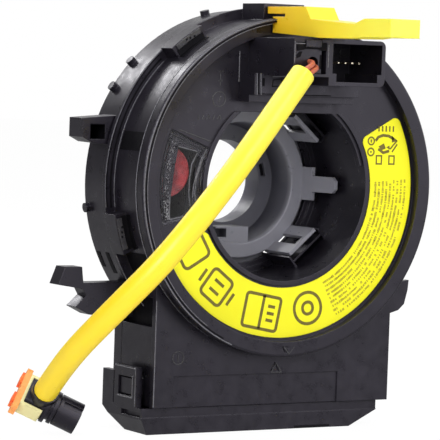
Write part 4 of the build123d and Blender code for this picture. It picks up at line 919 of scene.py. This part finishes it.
def box_side():
    """Painted shade in the recess, the snap window and the slot under the shroud, and edges of the snap lightened
    as painted highlight.
    """
    recess = ((BOX_RECESS_X - 0.06, 5.2, -43.9), (BOX_RECESS_X + SINK, 25.0, -35.1))
    snap_window = ((-45.28, 10.7, -65.9), (-45.18, 19.3, -60.1))
    shroud_slot = ((8.85, 4.06, -77.19), (22.15, 6.9, -76.35))
    blocks_piece("side_shades", [recess, snap_window, shroud_slot], gap_black, "stator")
    outer, inner = SNAP_X - 0.1, SNAP_X + SINK
    front, back, top, foot = 8.3, 21.7, -57.0, -68.8
    blocks_piece("snap_edges", [((outer, front, top - 0.3), (inner, back, top)),
                                ((outer, front, foot), (inner, front + 0.5, top - 0.3)),
                                ((outer, 10.1, -66.6), (inner, 10.6, -59.6)),
                                ((outer, 10.6, -66.6), (inner, 19.9, -66.2))],
                 highlight_edge_black, "stator")


# ---------------------------------------------------------------- hub
def hub_windows():
    """Painted shade: dark patches standing for openings in the floor of the hub's recess."""
    mesh = bmesh.new()
    for start, end in ((6.0, 22.0), (27.0, 40.0)):
        add_strip(mesh, arc(HUB_SLOTS_R, start + 0.6, end - 0.6, 8), 2.3, *standing(HUB_SLOT_FLOOR_Y, 0.15))
    add_piece("hub_windows", mesh, gap_black, "rotor")


DETAILS = (airbag_lead, label_print, face_marks, window_details, roller_face, ring_lines, case_shade, latch_faces,
           loop_lining, tower_details, plinth_details, plate_details, box_side, hub_windows)
for add_details in DETAILS:
    add_details()


# ---------------------------------------------------------------- floor, backdrop and light
def seen_ray(tree, *kinds):
    """1 for rays of the named kinds."""
    path = tree.nodes.new("ShaderNodeLightPath")
    total = path.outputs[kinds[0]]
    for kind in kinds[1:]:
        total = math_node(tree, "MAXIMUM", total, path.outputs[kind])
    return total


def white_floor():
    """White floor that keeps a faint shadow, and is dim in a gloss."""
    material, tree, shader = new_material("floor")
    shader.inputs["Base Color"].default_value = (0.90, 0.90, 0.90, 1.0)
    shader.inputs["Roughness"].default_value = 0.7
    glow = tree.nodes.new("ShaderNodeEmission")
    glow.inputs["Strength"].default_value = 1.03
    share = math_node(tree, "MULTIPLY", seen_ray(tree, "Is Camera Ray", "Is Transmission Ray"), 0.93)
    white = mix_shaders(tree, share, shader.outputs["BSDF"], glow.outputs["Emission"])
    dim = tree.nodes.new("ShaderNodeEmission")
    dim.inputs["Strength"].default_value = 0.44
    in_gloss = mix_shaders(tree, seen_ray(tree, "Is Glossy Ray"), white, dim.outputs["Emission"])
    tree.links.new(in_gloss, tree.nodes["Material Output"].inputs["Surface"])
    half, height = 4.0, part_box("bottom_shroud")[0][2]
    data = bpy.data.meshes.new("floor")
    data.from_pydata([(-half, -half, height), (half, -half, height), (half, half, height), (-half, half, height)],
                     [], [(0, 1, 2, 3)])
    data.materials.append(material)
    place_object("floor", data)


def backdrop():
    """White to look at; in a gloss and as light it is paler on the left than on the right."""
    world = bpy.data.worlds.new("studio")
    world.use_nodes = True
    tree = world.node_tree
    tree.nodes.clear()
    output = tree.nodes.new("ShaderNodeOutputWorld")
    coords = tree.nodes.new("ShaderNodeTexCoord")
    lean = tree.nodes.new("ShaderNodeVectorMath")
    lean.operation = "DOT_PRODUCT"
    lean.inputs[1].default_value = Vector((0.6, -0.6, 0.5)).normalized()
    tree.links.new(coords.outputs["Generated"], lean.inputs[0])
    turned = math_node(tree, "ADD", math_node(tree, "MULTIPLY", lean.outputs["Value"], 0.5), 0.5)
    shade = ramp(tree, turned, [(0.2, 0.10), (0.8, 1.0)])
    backgrounds = {}
    for use, strength in (("seen", 1.0), ("gloss", 1.6), ("light", 0.50)):
        node = tree.nodes.new("ShaderNodeBackground")
        node.inputs["Strength"].default_value = strength
        if use != "seen":
            tree.links.new(shade, node.inputs["Color"])
        else:
            node.inputs["Color"].default_value = (1.0, 1.0, 1.0, 1.0)
        backgrounds[use] = node.outputs["Background"]
    unseen = mix_shaders(tree, seen_ray(tree, "Is Glossy Ray"), backgrounds["light"], backgrounds["gloss"])
    surface = mix_shaders(tree, seen_ray(tree, "Is Camera Ray", "Is Transmission Ray"), unseen, backgrounds["seen"])
    tree.links.new(surface, output.inputs["Surface"])
    scene.world = world


def soft_lamp(name, where, target, size, power):
    """Soft square lamp aimed at a point."""
    data = bpy.data.lights.new(name, "AREA")
    data.energy = power
    data.size = size
    lamp = place_object(name, data)
    lamp.location = where
    lamp.rotation_euler = (Vector(target) - Vector(where)).to_track_quat("-Z", "Y").to_euler()
    lamp.visible_camera = False


# name, place, aim, width and power, in metres and watts
LAMPS = (("key", (0.35, -1.1, 0.75), (0.0, 0.0, 0.0), 0.7, 6.5),
         ("top", (-0.1, 0.25, 1.0), (0.0, 0.0, 0.0), 0.9, 6.5),
         ("front", (0.167, -0.30, 0.02), (-0.01, 0.0, 0.01), 0.14, 0.04),
         ("back", (-0.16, 0.95, 0.58), (-0.03, 0.0, 0.0), 0.26, 1.7),
         ("left", (-1.0, -0.85, 0.45), (-0.03, 0.0, 0.0), 0.6, 9.5))

white_floor()
backdrop()
for lamp_settings in LAMPS:
    soft_lamp(*lamp_settings)

scene.view_settings.view_transform = "Standard"
